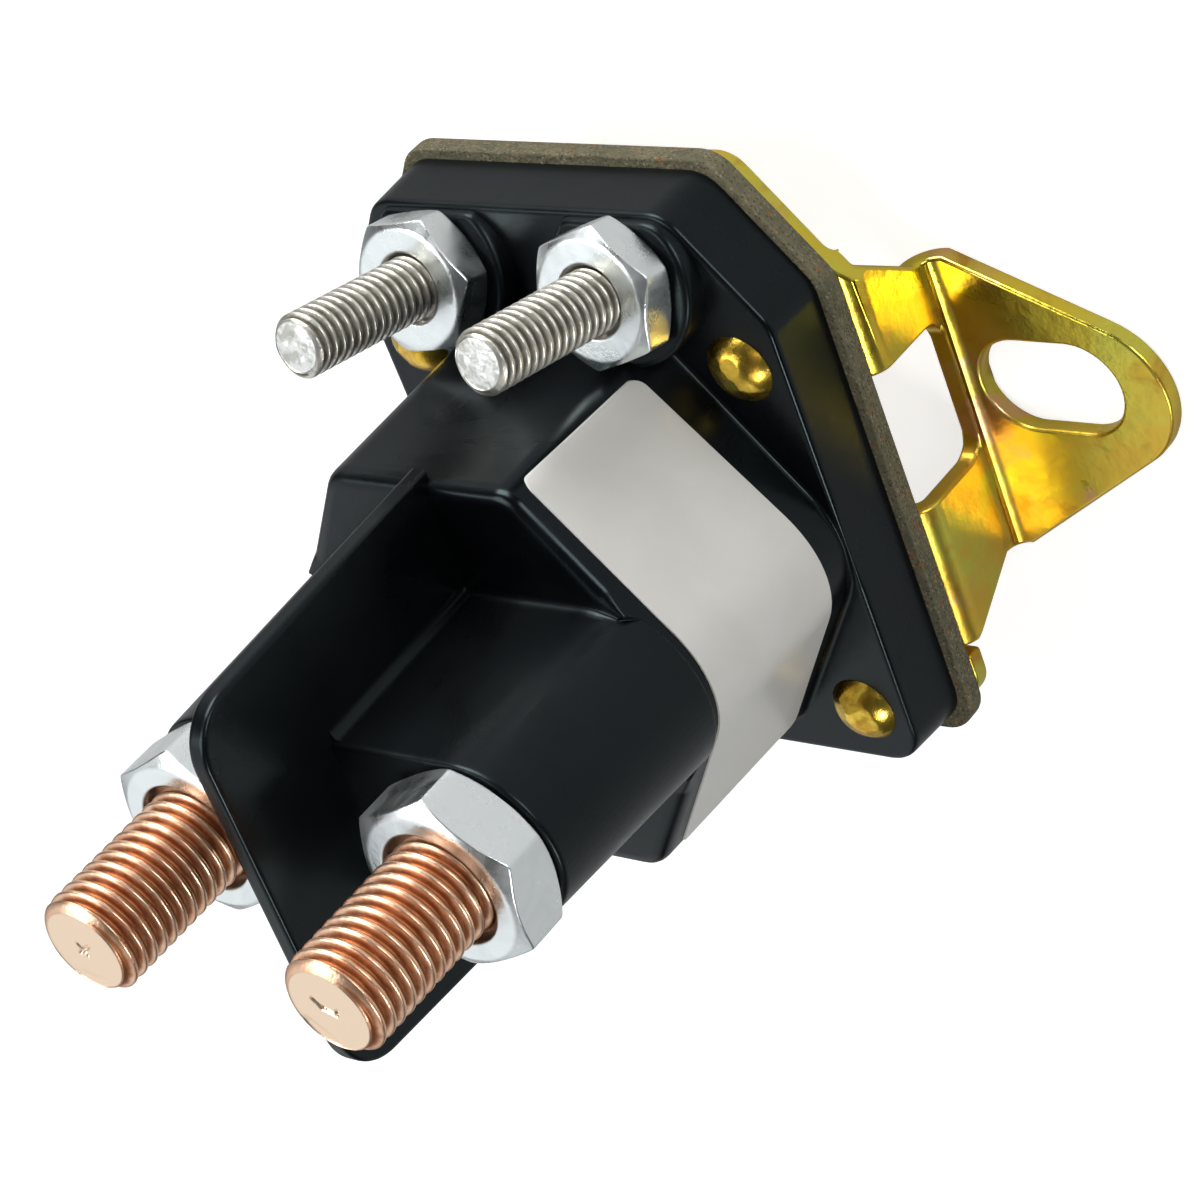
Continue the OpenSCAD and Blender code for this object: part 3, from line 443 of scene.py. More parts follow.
BOSS_LOW, BOSS_HIGH = 7.36, 6.65
ROUND = full_turn(720)
flange_low, flange_high = (reach(flange_outline(g), ROUND) for g in (0, -0.25))
body_low, body_high, body_inner = (reach(body_outline(g), ROUND) for g in (0, -0.5, -2.2))
boss_low, boss_high, chamber = (reach(stadium(r), ROUND) for r in (BOSS_LOW, BOSS_HIGH, 5.0))
for label, far in (("flange", flange_low), ("body", body_low), ("boss", boss_low)):
    print(label, "reaches", far.max().round(2))

# %% [markdown]
# ## The housing
#
# The housing could be cut from blocks with Boolean modifiers, but then its fillets break up
# where three surfaces meet. Here one skin starts in the contact chamber, runs down the inside,
# over the flange, up the body and up the stud boss, so every edge has its own rounding.
# The thin barrier, the pads under the coil nuts and the fillets beside the barrier are closed
# pieces that run into it.

# %% The shell
CAN_RADIUS, POCKET_RADIUS, OVERHANG_FADE = 12.4, 3.5, 0.6
overhang = np.clip((boss_low - body_high + OVERHANG_FADE) / OVERHANG_FADE, 0, 1)
ledge = BODY_TOP + (LEDGE - BODY_TOP) * overhang
can = np.maximum(CAN_RADIUS, chamber)
inner = np.maximum(body_inner, chamber)
shell_stops = [
    (0.1, POCKET_TOP), (POCKET_RADIUS, POCKET_TOP), (POCKET_RADIUS, CHAMBER_HIGH),
    (chamber, CHAMBER_HIGH), (chamber, CHAMBER_LOW), (can, CHAMBER_LOW - 0.05), (can, CAN_TOP),
    (inner, CAN_TOP - 0.05), (body_inner, 0), (flange_low, 0), (flange_high, FLANGE_TOP),
    (body_low, FLANGE_TOP), (body_high, ledge), (boss_low, ledge), (boss_high, BOSS_TOP),
    (0.2, BOSS_TOP),
]
shell_cuts = [0.1] * 8 + [0.15, 0.5, 0.4, 1.15, 0.7, 0.45]
shell = skin(soften(rings_of(shell_stops, ROUND), shell_cuts))
print("shell", len(shell[0]), "points")

# %% The barrier between the studs
BARRIER_HALF, BARRIER_EDGE, BARRIER_CORNER = 0.8, 0.95, 4.2
FOOT, TIP, BARRIER_TOP = 17.0, 15.6, 49.3
ARCH, ARCH_TOP = 6.2, 36.5
ARCH_LINE = [
    [-FOOT, LEDGE], [-ARCH, LEDGE], [-ARCH, ARCH_TOP], [ARCH, ARCH_TOP],
    [ARCH, LEDGE], [FOOT, LEDGE], [TIP, BARRIER_TOP], [-TIP, BARRIER_TOP],
]


def inset(corners, by):
    """Each corner moves along its mitre by (n + m) / (1 + n.m) times the inset, where n and
    m are the inward normals of its two sides."""
    corners = np.asarray(corners, float)
    side = np.roll(corners, -1, 0) - corners
    side /= np.linalg.norm(side, axis=1, keepdims=True)
    after = np.column_stack([-side[:, 1], side[:, 0]])
    before = np.roll(after, 1, 0)
    return corners + by * (before + after) / (1 + (before * after).sum(1, keepdims=True))


def barrier_ring(x, by):
    """The barrier's outline at one X, inset by some: an arch, whose opening leaves the
    contact chamber inside the boss free. Only its two upper corners are arcs."""
    arch = inset(ARCH_LINE, by)
    radius = BARRIER_CORNER - by
    arcs = rounded(arch[[0, 5, 6, 7]], [0.1, 0.1, radius, radius], 24)
    outline = np.vstack([arch[:6], arcs[len(arcs) // 2:]])
    return np.column_stack([np.full(len(outline), x), outline])


barrier_path = [
    barrier_ring(side * BARRIER_HALF, by)
    for side, by in ((-1, BARRIER_EDGE), (-1, 0.0), (1, 0.0), (1, BARRIER_EDGE))
]
barrier = skin(soften(barrier_path, [0.42, 0.42], steps=6), flat=True)
print("barrier", len(barrier[0]), "points")


# %% The fillets beside the barrier, and the pads under the coil nuts
def web_fillet(side_x, side_y, radius=0.85):
    """A quarter hollow between barrier and boss: centre minus radius times (cos a, sin a),
    carried up the leaning boss wall."""
    turn = np.linspace(0, np.pi / 2, 10)
    rings = []
    for z in np.linspace(23.5, 39.3, 6):
        wall = 7.4 - 0.75 * (z - LEDGE) / 17
        x = np.append(BARRIER_HALF + radius - radius * np.cos(turn), [0.7 + radius, 0.6])
        y = np.append(wall + radius - radius * np.sin(turn), [wall - 0.3, wall - 0.3])
        rings.append(np.column_stack([side_x * x, side_y * y, np.full(len(x), z)]))
    return skin(rings)


PAD_RADIUS, PAD_MARGIN, PAD_FOOT, PAD_SHARPNESS = 6.0, 0.7, 5.0, 6.0


def coil_pad(side):
    """A disc about the coil stud, held inside the flange's edge by a margin, whose top leans
    with the stud."""
    centre = np.array([side * COIL_X, COIL_Y])
    turn = full_turn(144)
    edge = reach(flange_outline(-PAD_MARGIN), turn, centre)
    wide = smooth_min(PAD_RADIUS, edge, PAD_SHARPNESS)
    path = []
    for share, top in ((0.02, True), (1.0, True), (1.03, False), (0.02, False)):
        x, y = centre[0] + share * wide * np.cos(turn), centre[1] + share * wide * np.sin(turn)
        z = COIL_Z - (y - COIL_Y) * math.tan(LEAN) - 0.02 if top else np.full(len(turn), PAD_FOOT)
        path.append(np.column_stack([x, y, z]))
    return skin(soften(path, [0.5, 0.1]))


fillets = [web_fillet(a, b) for a in (-1, 1) for b in (-1, 1)]
housing_skin = together([shell, barrier, coil_pad(-1), coil_pad(1)] + fillets)
add_piece(
    "housing_moulding", housing_skin, plastic.material, "black_moulding", ["housing"], sharp=50
)

# %% [markdown]
# ## The label
#
# A film of satin polyester wrapped round one end of the body. It could be painted on with a
# mask, but a real label has an edge that catches the light, so it is its own thin closed
# skin that follows the body's wall. Its face is plain.

# %% Label finish
film = Finish("bare_label_film", Specular_IOR_Level=0.45, Coat_Weight=0.15, Coat_Roughness=0.18)
haze = film.use(PATCHES, Size=110.0, Low=0.3, High=0.7)
film.set(
    Base_Color=film.colour(haze, (0.590, 0.584, 0.545), (0.630, 0.624, 0.590)),
    Roughness=film.number(haze, 0.30, 0.40),
    Normal=film.bump(film.use(GRAIN, Size=420.0), 0.00006, 0.12),
)

# %% The label's skin
LABEL_MIDDLE, LABEL_HALF = 0.2, 16.0
REAR_END, FRONT_END = LABEL_MIDDLE - LABEL_HALF, LABEL_MIDDLE + LABEL_HALF
LOWER_EDGE, UPPER_EDGE = (7.0, 9.1), (21.2, 21.9)
LABEL_CORNER, LABEL_THICK, ROWS_UP = 0.8, 0.15, 13


def body_wall(y, height, proud):
    """A point on the right-hand end of the body's leaning wall, found from y along the
    outline and standing proud of it by a given distance."""
    share = np.clip((height - FLANGE_TOP) / (LEDGE - FLANGE_TOP), 0, 1)
    x = []
    for line in (body_outline(proud), body_outline(proud - 0.5)):
        right = line[line[:, 0] > 0.5]
        right = right[np.argsort(right[:, 1])]
        x.append(np.interp(y, right[:, 1], right[:, 0]))
    return np.stack([x[0] * (1 - share) + x[1] * share, y, height], -1)


def label_skin():
    """Rows run from the rear end to the front, closer together near the ends. At distance d
    from an end both edges draw in by r - sqrt(r^2 - (r - d)^2), r being the corner radius."""
    turn = np.linspace(-1, 1, 161)
    y = LABEL_MIDDLE + LABEL_HALF * np.sign(turn) * (1 - (1 - np.abs(turn)) ** 1.5)
    into = np.maximum(LABEL_CORNER - np.minimum(y - REAR_END, FRONT_END - y), 0)
    drawn_in = LABEL_CORNER - np.sqrt(np.maximum(LABEL_CORNER**2 - into**2, 0))
    low = np.interp(y, (REAR_END, FRONT_END), LOWER_EDGE) + drawn_in
    high = np.interp(y, (REAR_END, FRONT_END), UPPER_EDGE) - drawn_in
    up = np.linspace(0, 1, ROWS_UP)[None, :]
    across = np.repeat(y[:, None], ROWS_UP, 1)
    height = low[:, None] * (1 - up) + high[:, None] * up
    front, back = (body_wall(across, height, proud) for proud in (LABEL_THICK, 0.0))
    return skin(np.concatenate([front, back[:, ::-1]], axis=1))


add_piece("label_film", label_skin(), film.material, "label_film", ["label"], sharp=35)

# %% [markdown]
# ## Threads
#
# A thread is a bar whose radius falls and rises along a helix. Blender's Screw modifier makes
# one from a profile, but its ends are hard to close. Here the radius of each point follows
# from its height and its angle, so the thread runs out under the chamfer by itself, and the
# depth of the groove is kept with each point for the finish to read.

# %% The thread's depth and the marks on an end face
CREST, FLANK = 0.14, 0.70
RIM, RIM_FADE = 0.10, 0.12


def groove_of(height, angle, pitch):
    """0 on the crest and 1 in the root: the distance from the crest in turns,
    height / pitch - angle / 2 pi, as a rounded V."""
    turns = np.mod(height / pitch - angle / (2 * np.pi), 1.0)
    v = np.clip((np.abs(2 * turns - 1) - CREST) / FLANK, 0, 1)
    return v * v * (3 - 2 * v)


def tick(xy, ends, deep, wide):
    """A short pressed mark: deep times e^-(d / wide)^2, d being the distance to the line
    between two ends."""
    a, b = np.array(ends)
    t = np.clip(((xy - a) @ (b - a)) / ((b - a) @ (b - a)), 0, 1)
    away = xy - a - t[:, None] * (b - a)
    return deep * np.exp(-(away**2).sum(1) / wide**2)


def stud_rings(foot, start, end, radius, pitch, deep, chamfer, marks):
    """foot is a path of rings below the thread; above it, rings climb from start to end and
    close over the slightly domed end face. With each point go its groove and its cut, which
    is 1 on the end face."""
    around = foot.shape[1]
    z, a = np.meshgrid(np.arange(start, end, pitch / 14), full_turn(around), indexing="ij")
    groove = groove_of(z, a, pitch) * np.clip((z - start) / (0.5 * pitch), 0, 1)
    full = radius - deep * groove
    tip = radius - chamfer + np.minimum((end - z) * 1.05, chamfer)
    r = np.minimum(full, tip - RIM * np.exp(-(end - z) / RIM_FADE) - 0.22 * deep * groove)
    groove = np.where(r < full - 0.02, 0.35 * groove, groove)
    climb = np.stack([r * np.cos(a), r * np.sin(a), z], -1)
    face = []
    for share in np.linspace(0.97, 0.02, 26):
        xy = climb[-1, :, :2] * share
        height = end - 0.10 * share**2 - sum(tick(xy, *mark) for mark in marks)
        face.append(np.column_stack([xy, height]))
    below, above = np.zeros(foot.shape[:2]), np.zeros((len(face), around))
    soil = np.concatenate([below, groove, above])
    cut = np.concatenate([below, 0 * groove, above + 1])
    return np.concatenate([foot, climb, face]), np.append(soil, [0, 0]), np.append(cut, [0, 1])


# %% [markdown]
# ## The battery studs
#
# They are rolled copper: bright, rounded crests, browner grooves, and a pale end face with
# the small pinch mark of the cut-off. A contact head and a square neck hold each stud in the
# moulding.

# %% Copper finish
copper = Finish("rolled_copper", Metallic=1.0)
soil = copper.use(SOIL, Reach=0.50)
clouds = copper.use(PATCHES, Size=320.0, Low=0.35, High=0.7)
bright = copper.colour(clouds, (0.97, 0.66, 0.46), (0.93, 0.55, 0.35))
rolled = copper.colour(soil, bright, (0.38, 0.145, 0.06))
copper.set(
    Base_Color=copper.colour(copper.per_point("cut"), rolled, (0.99, 0.77, 0.57)),
    Roughness=copper.number(soil, 0.33, 0.50),
    Normal=copper.bump(copper.use(GRAIN, Size=1500.0), 0.00006, 0.6),
)


# %% The battery studs' skin
def battery_stud(side, marks):
    """A round head, a square neck with rounded corners, a plain shank and the thread."""
    angle = full_turn(112)
    neck = np.minimum(4.2 / np.maximum(np.abs(np.cos(angle)), np.abs(np.sin(angle))), 5.0)
    stops = [
        (0.1, 30.6), (4.8, 30.6), (4.8, CHAMBER_HIGH), (neck, CHAMBER_HIGH), (neck, 35.0),
        (3.65, 35.0), (3.65, 43.3),
    ]
    foot = soften(rings_of(stops, angle), [0.25, 0.2, 0.05, 0.1, 0.1], steps=3)
    rings, groove, cut = stud_rings(
        foot, start=43.45, end=56.25, radius=3.97, pitch=1.0583, deep=0.60, chamfer=0.6, marks=marks
    )
    return skin(rings + [side * STUD_X, 0, 0]), groove, cut


# Each mark: its two ends, its depth and its width
pinch = [
    (((-1.1, 0.75), (-0.5, 0.1)), 0.22, 0.15), (((-0.5, 0.1), (0.5, -0.25)), 0.26, 0.18),
    (((0.5, -0.25), (0.8, 0.15)), 0.16, 0.14), (((-2.6, -1.4), (-0.8, -2.9)), 0.07, 0.35),
]
nick = [
    (((-0.5, -0.3), (0.5, 0.35)), 0.20, 0.17), (((-0.4, 0.5), (0.1, -0.5)), 0.14, 0.14),
    (((-1.5, -2.4), (0.6, -2.8)), 0.07, 0.35),
]
for name, side, marks in (("right", 1, pinch), ("left", -1, nick)):
    made, groove, cut = battery_stud(side, marks)
    add_piece(
        f"copper_stud_{name}", made, copper.material, "copper_stud", [f"battery_stud_{name}"],
        sharp=60, groove=groove, cut=cut,
    )

# %% [markdown]
# ## The coil studs
#
# Small steel studs with a dull nickel plate. The plate wears bright on the crests and stays
# grey-brown in the grooves. They lean forward with the housing's front, so their skin is
# made upright and then leant.

# %% Nickel finish
nickel = Finish("dull_nickel_plate", Metallic=1.0)
soil = nickel.use(SOIL, Reach=0.42)
mottle = nickel.use(PATCHES, Size=1300.0, Low=0.42, High=0.62)
thread = nickel.colour(soil, (0.80, 0.78, 0.71), (0.20, 0.185, 0.15))
end_face = nickel.colour(mottle, (0.86, 0.87, 0.84), (0.55, 0.55, 0.50))
nickel.set(
    Base_Color=nickel.colour(nickel.per_point("cut"), thread, end_face),
    Roughness=nickel.number(soil, 0.36, 0.52),
    Normal=nickel.bump(nickel.use(GRAIN, Size=1700.0), 0.00010, 0.6),
)


# %% The coil studs' skin
def leant(points, side):
    """Turns points by the lean about X, then moves them to the coil stud's seat:
    y' = y cos + z sin, z' = z cos - y sin."""
    c, s = math.cos(LEAN), math.sin(LEAN)
    x, y, z = np.moveaxis(np.asarray(points, float), -1, 0)
    return np.stack([x + side * COIL_X, y * c + z * s + COIL_Y, z * c - y * s + COIL_Z], -1)


def coil_stud(side):
    """A head with two flats, a plain shank and the thread."""
    angle = full_turn(96)
    head = np.minimum(4.2, 3.6 / np.maximum(np.abs(np.cos(angle)), 1e-6))
    stops = [(0.1, -6.2), (head, -6.2), (head, -4.6), (2.15, -4.6), (2.15, 2.0)]
    foot = soften(rings_of(stops, angle), [0.2, 0.2, 0.1], steps=3)
    marks = [(((-0.7, 0.4), (-0.2, 0.9)), 0.05, 0.25), (((0.5, -0.6), (0.9, 0.1)), 0.05, 0.22)]
    rings, groove, cut = stud_rings(
        foot, start=2.1, end=14.88, radius=2.36, pitch=0.7938, deep=0.45, chamfer=0.36, marks=marks
    )
    return skin(leant(rings, side)), groove, cut


for name, side in (("right", 1), ("left", -1)):
    made, groove, cut = coil_stud(side)
    add_piece(
        f"nickel_stud_{name}", made, nickel.material, "nickel_stud", [f"coil_stud_{name}"],
        sharp=60, groove=groove, cut=cut,
    )

# %% [markdown]
# ## The nuts
#
# A nut is a six-sided bar whose corners are turned off at both faces, which leaves the curved
# edge lines that show it is a nut. The height at which the turned cone meets a side is known
# for each direction, so a ring is laid exactly along that curve. Their zinc plate is bright
# and slightly blue; the thread's mouth is painted dark brown, for shade in its recess and residue.

# %% Bright zinc finish
zinc = Finish("bright_zinc_plate", Metallic=1.0)
bloom = zinc.use(PATCHES, Size=230.0, Low=0.35, High=0.7)
plate = zinc.colour(bloom, (0.94, 0.99, 0.98), (0.86, 0.91, 0.925))
# Dark brown in the thread's mouth is painted shade in its recess, with some brown residue.
zinc.set(
    Base_Color=zinc.colour(zinc.per_point("mouth"), plate, (0.30, 0.225, 0.165)),
    Roughness=zinc.number(bloom, 0.24, 0.38),
    Normal=zinc.bump(zinc.use(GRAIN, Size=1300.0, Stretch=(1.0, 1.0, 0.3)), 0.00008, 0.4),
)


# %% The nuts' skin
FACE_SHARE, CORNER_WEAR, CORNER_SHARPNESS = 0.93, 0.05, 9.0


def nut_rings(flats, high, turn, bore, mouth):
    """Reach of the six sides: half the flats over cos of the angle from the nearest side's
    middle. The turned cone rises tan 30 per millimetre beyond the face's radius."""
    angle = full_turn(240) + turn
    off = np.mod(angle - turn, np.pi / 3) - np.pi / 6
    corner = flats / 2 / math.cos(np.pi / 6) - CORNER_WEAR
    side = smooth_min(flats / 2 / np.cos(off), corner, CORNER_SHARPNESS)
    face = flats / 2 * FACE_SHARE
    rise = (side - face) * math.tan(math.radians(30))
    stops = [
        (bore, high / 2), (bore, 0.0), (face, 0.0), (side, rise), (side, high - rise),
        (face, high), (mouth, high), (bore, high - 1.2 * (mouth - bore)), (bore, high / 2),
    ]
    rings = soften(rings_of(stops, angle), [0.1, 0.22, 0.12, 0.12, 0.22, 0.12, 0.1], steps=4)[:-1]
    near = np.hypot(rings[..., 0], rings[..., 1])
    # The thread's mouth: painted shade in its recess, tinted brown for residue.
    mouth_shade_and_residue = np.clip((mouth + 0.10 - near) / 0.2, 0, 1) * (rings[..., 2] > high * 0.4)
    return rings, mouth_shade_and_residue.ravel()


for name, side, turn in (("right", 1, 21.6), ("left", -1, 27.5)):
    rings, mouth_shade_and_residue = nut_rings(flats=12.7, high=4.8, turn=math.radians(turn), bore=3.70, mouth=4.62)
    made = skin(rings + [side * STUD_X, 0, BOSS_TOP], loop=True)
    add_piece(
        f"battery_nut_{name}_zinc", made, zinc.material, "bright_zinc", [f"battery_nut_{name}"],
        sharp=50, mouth=mouth_shade_and_residue,
    )

for name, side, turn in (("right", 1, 19.5), ("left", -1, 7.0)):
    rings, mouth_shade_and_residue = nut_rings(flats=9.53, high=3.18, turn=math.radians(turn), bore=2.20, mouth=2.75)
    made = skin(leant(rings, side), loop=True)
    add_piece(
        f"coil_nut_{name}_zinc", made, zinc.material, "bright_zinc", [f"coil_nut_{name}"],
        sharp=50, mouth=mouth_shade_and_residue * 0.6,
    )

# %% [markdown]
# ## The rivets
#
# Four plated rivets hold the housing to the bracket. Their heads were set with a hammer, so
# each dome shows a few flats. A dome is a sphere's cap, and a flat is a plane a little lower
# than the dome's own tangent plane: each point takes the lowest of them.

# %% Rivet finish
brass = Finish("golden_zinc_rivet", Metallic=1.0)
stain = brass.use(PATCHES, Size=620.0, Low=0.38, High=0.66)
warm = brass.use(PATCHES, Size=330.0, Low=0.42, High=0.62, Shift=(0.3, 0.1, 0.2))
gold = brass.colour(warm, (0.95, 0.68, 0.10), (0.90, 0.55, 0.06))
brass.set(
    Base_Color=brass.colour(stain, gold, (0.60, 0.34, 0.04)),
    Roughness=brass.number(stain, 0.20, 0.32),
    Normal=brass.bump(brass.use(GRAIN, Size=1500.0), 0.00008, 0.35),
)

# %% The rivets' skin
GLOBE, PEAK, HEAD, SHANK = 3.208, 6.8, 2.65, 1.95
RIVET_X, RIVET_Y, RIVETS_BACK, FIRST_SEED = 15.0, 14.85, -0.1, 20


def rivet(x0, y0, seed):
    """Cap of a sphere of radius GLOBE, cut by eight random planes 0.07 to 0.13 below its
    tangent planes; then the shank and the formed head below."""
    draw = np.random.default_rng(seed)
    around = full_turn(72)
    r, a = np.meshgrid(np.linspace(0.03, 1.0, 22) ** 0.85 * HEAD, around, indexing="ij")
    x, y = r * np.cos(a), r * np.sin(a)
    z = PEAK - GLOBE + np.sqrt(GLOBE**2 - x**2 - y**2)
    for _ in range(8):
        far, way = draw.uniform(0.5, 2.0), draw.uniform(0, 2 * np.pi)
        px, py, low = far * np.cos(way), far * np.sin(way), draw.uniform(0.07, 0.13)
        pz = math.sqrt(GLOBE**2 - px**2 - py**2)
        z = np.minimum(z, PEAK - GLOBE + pz - ((x - px) * px + (y - py) * py) / pz - low)
    dome = np.stack([x, y, np.maximum(z, FLANGE_TOP + 0.02)], -1)
    stops = [
        (2.62, FLANGE_TOP), (SHANK, FLANGE_TOP - 0.02), (SHANK, -3.1), (HEAD, -3.15), (HEAD, -3.9),
        (2.25, -4.3), (0.1, -4.3),
    ]
    shank = soften(rings_of(stops, around), [0.05, 0.05, 0.05, 0.15, 0.15], steps=3)
    return skin(np.concatenate([dome, shank]) + [x0, y0, 0])


rivet_places = [(x * RIVET_X, RIVETS_BACK + y * RIVET_Y) for x in (-1, 1) for y in (-1, 1)]
rivet_skin = together([rivet(x, y, FIRST_SEED + k) for k, (x, y) in enumerate(rivet_places)])
add_piece("hammered_rivets", rivet_skin, brass.material, "gold_rivet", ["rivets"], sharp=50)

# %% [markdown]
# ## Sheet pieces
#
# The bracket and the gasket already have the right shape in CAD. A copy of such a solid is
# merged, its flat faces are joined, and a Bevel modifier breaks its sharp edges the way a
# stamping tool does. That is quicker than a new skin and keeps every hole.

# %% A copy with softened edges
SHARP_EDGE = math.radians(35)


def softened_copy(node, name, finish, edge):
    """Merged copy of a solid whose sharp edges are bevelled. Where bevels meet in a hollow
    corner they leave small horns, so a point outside the solid goes to the nearest on it."""
    mesh = solids[node].data.copy()
    work = bmesh.new()
    work.from_mesh(mesh)
    bmesh.ops.remove_doubles(work, verts=work.verts, dist=1e-6)
    flat = math.radians(0.6)
    bmesh.ops.dissolve_limit(work, angle_limit=flat, verts=work.verts, edges=work.edges)
    work.to_mesh(mesh)
    work.free()
    mesh.materials.clear()
    mesh.materials.append(finish)
    mesh.shade_smooth()
    mesh.set_sharp_from_angle(angle=SHARP_EDGE)
    piece = new_object(name, mesh)
    bevel = piece.modifiers.new("broken_edges", "BEVEL")
    bevel.width, bevel.segments = edge * MM, 3
    bevel.limit_method, bevel.angle_limit = "ANGLE", SHARP_EDGE
    bevel.use_clamp_overlap, bevel.harden_normals = False, True
    seen = bpy.context.evaluated_depsgraph_get()
    mesh = bpy.data.meshes.new_from_object(piece.evaluated_get(seen))
    mesh.name = name
    walls = BVHTree.FromObject(solids[node], seen)
    for point in mesh.vertices:
        nearest, outward, _, _ = walls.find_nearest(point.co)
        if (point.co - nearest).dot(outward) > 0.01 * MM:
            point.co = nearest
    piece.modifiers.clear()
    piece.data = mesh
    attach(piece, "base")
    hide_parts(node)
    print(name, len(mesh.vertices), "points")


# %% [markdown]
# ## The bracket
#
# Pressed steel with a yellow chromate over zinc. The film is thin enough to show colours
# that drift from olive to gold to pink as its thickness changes, so the finish mixes five
# colours through slow clouds, over the fine grain of the rolled sheet.

# %% Yellow zinc finish
yellow = Finish("yellow_zinc_plate", Metallic=1.0)
drift = yellow.use(PATCHES, Size=75.0, Low=0.38, High=0.64)
green = yellow.use(PATCHES, Size=130.0, Low=0.46, High=0.66, Shift=(0.7, 0.2, 0.4))
pink = yellow.use(PATCHES, Size=190.0, Low=0.56, High=0.70, Shift=(0.1, 0.9, 0.3))
wear = yellow.use(PATCHES, Size=260.0, Low=0.55, High=0.72, Shift=(0.5, 0.5, 0.1))
base = yellow.colour(drift, (0.80, 0.63, 0.065), (0.81, 0.54, 0.075))
base = yellow.colour(green, base, (0.73, 0.66, 0.10))
base = yellow.colour(pink, base, (0.84, 0.50, 0.24))
yellow.set(
    Base_Color=yellow.colour(wear, base, (0.62, 0.36, 0.05)),
    Roughness=yellow.number(drift, 0.24, 0.36),
    Normal=yellow.bump(yellow.use(GRAIN, Size=700.0), 0.00014, 0.4),
)
softened_copy("mounting_bracket", "bracket_sheet", yellow.material, 0.32)

# %% [markdown]
# ## The gasket
#
# Pressed fibre: olive-grey, speckled light and dark, with fibres that lie in the sheet, so
# its cut edge shows short lines along the sheet. Flecks stretched flat give that.

# %% Fibre finish
fibre = Finish("pressed_fibre", Specular_IOR_Level=0.2)
light = fibre.use(FLECKS, Size=3600.0, Stretch=(1.0, 1.0, 1.8), Share=0.30)
rust = fibre.use(FLECKS, Size=1500.0, Stretch=(1.0, 1.0, 1.6), Share=0.10)
dark = fibre.use(FLECKS, Size=4300.0, Stretch=(1.0, 1.0, 1.5), Share=0.34)
clouds = fibre.use(PATCHES, Size=420.0, Low=0.35, High=0.65)
base = fibre.colour(clouds, (0.105, 0.100, 0.062), (0.150, 0.132, 0.080))
base = fibre.colour(rust, base, (0.20, 0.105, 0.045))
base = fibre.colour(light, base, (0.21, 0.195, 0.135))
layers = fibre.use(GRAIN, Size=1900.0, Stretch=(1.0, 1.0, 2.4))
fibre.set(
    Base_Color=fibre.colour(dark, base, (0.060, 0.057, 0.040)),
    Roughness=fibre.number(clouds, 0.78, 0.92),
    Normal=fibre.bump(layers, 0.00025, 0.9),
)
softened_copy("gasket", "gasket_sheet", fibre.material, 0.22)

# %% [markdown]
# ## Springs and winding
#
# These are inside the housing and show only when it is taken apart. A spring is a round wire
# carried along a helix whose pitch closes up at both ends; the winding is a ring whose
# outside is a very fine thread of wire.

# %% Plain metal finish and a coil of wire
def two_tone(made, tone, rough, cloud, darker, rougher, grain, brushed=EVEN):
    """Two close tones in clouds, with roughness to match, over a fine grain."""
    clouds = made.use(PATCHES, Size=cloud, Low=0.35, High=0.7)
    made.set(
        Base_Color=made.colour(clouds, tone, tuple(darker * c for c in tone)),
        Roughness=made.number(clouds, rough, rough + rougher),
        Normal=made.bump(made.use(GRAIN, Size=grain, Stretch=brushed), 0.00003, 0.4),
    )
    return made.material


def plain_metal(name, tone, rough, brushed=(1.0, 1.0, 0.2)):
    """A turned or drawn metal, with brush lines round the piece."""
    return two_tone(Finish(name, Metallic=1.0), tone, rough, 500.0, 0.78, 0.14, 1800.0, brushed)


DEAD_TURN, EASE, DEAD_PACE = 0.9, 0.3, 0.45


def coil_of_wire(radius, low, high, turns, wire):
    """Centre (r cos a, r sin a, z); z climbs slowly over the dead turn at each end and
    faster between. The section is a circle about it."""
    t = np.linspace(0, turns, int(turns * 40) + 1)
    rests = [0, DEAD_TURN, DEAD_TURN + EASE, turns - DEAD_TURN - EASE, turns - DEAD_TURN, turns]
    pace = np.interp(t, rests, [DEAD_PACE, DEAD_PACE, 1.0, 1.0, DEAD_PACE, DEAD_PACE])
    climb = np.append(0, np.cumsum((pace[1:] + pace[:-1]) / 2))
    z = low + wire / 2 + (high - low - wire) * climb / climb[-1]
    a = 2 * np.pi * t
    centre = np.stack([radius * np.cos(a), radius * np.sin(a), z], -1)
    along = np.gradient(centre, axis=0)
    along /= np.linalg.norm(along, axis=1, keepdims=True)
    outward = np.stack([np.cos(a), np.sin(a), 0 * a], -1)
    upward = np.cross(along, outward)
    section = full_turn(12)[None, :, None]
    round_wire = outward[:, None] * np.cos(section) + upward[:, None] * np.sin(section)
    return skin(centre[:, None] + wire / 2 * round_wire)


# %% The springs
spring_steel = plain_metal("spring_steel", (0.50, 0.50, 0.52), 0.26)
long_coil = coil_of_wire(radius=2.75, low=3.0, high=11.5, turns=6.5, wire=0.66)
short_coil = coil_of_wire(radius=2.8, low=21.1, high=25.55, turns=4.4, wire=0.62)
return_spring = add_piece(
    "return_spring_wire", long_coil, spring_steel, "spring_wire", ["return_spring"], sharp=40
)
contact_spring = add_piece(
    "contact_spring_wire", short_coil, spring_steel, "spring_wire", ["contact_spring"], sharp=40,
    body="plunger_group",
)
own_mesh(return_spring)
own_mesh(contact_spring)


# %% The winding
def winding(inner, outer, low, high, pitch):
    """A ring whose outside is like a very fine thread: outer - 0.06 (1 - cos(2 pi turns))."""
    around = full_turn(96)
    z, a = np.meshgrid(np.arange(low + 0.05, high - 0.05, pitch / 6), around, indexing="ij")
    r = outer - 0.06 * (1 - np.cos(2 * np.pi * (z / pitch - a / (2 * np.pi))))
    outside = np.stack([r * np.cos(a), r * np.sin(a), z], -1)
    bottom = rings_of([(outer - 0.2, low)], around)
    rest = rings_of([(outer - 0.2, high), (inner, high), (inner, low)], around)
    return skin(np.concatenate([bottom, outside, rest]), loop=True)


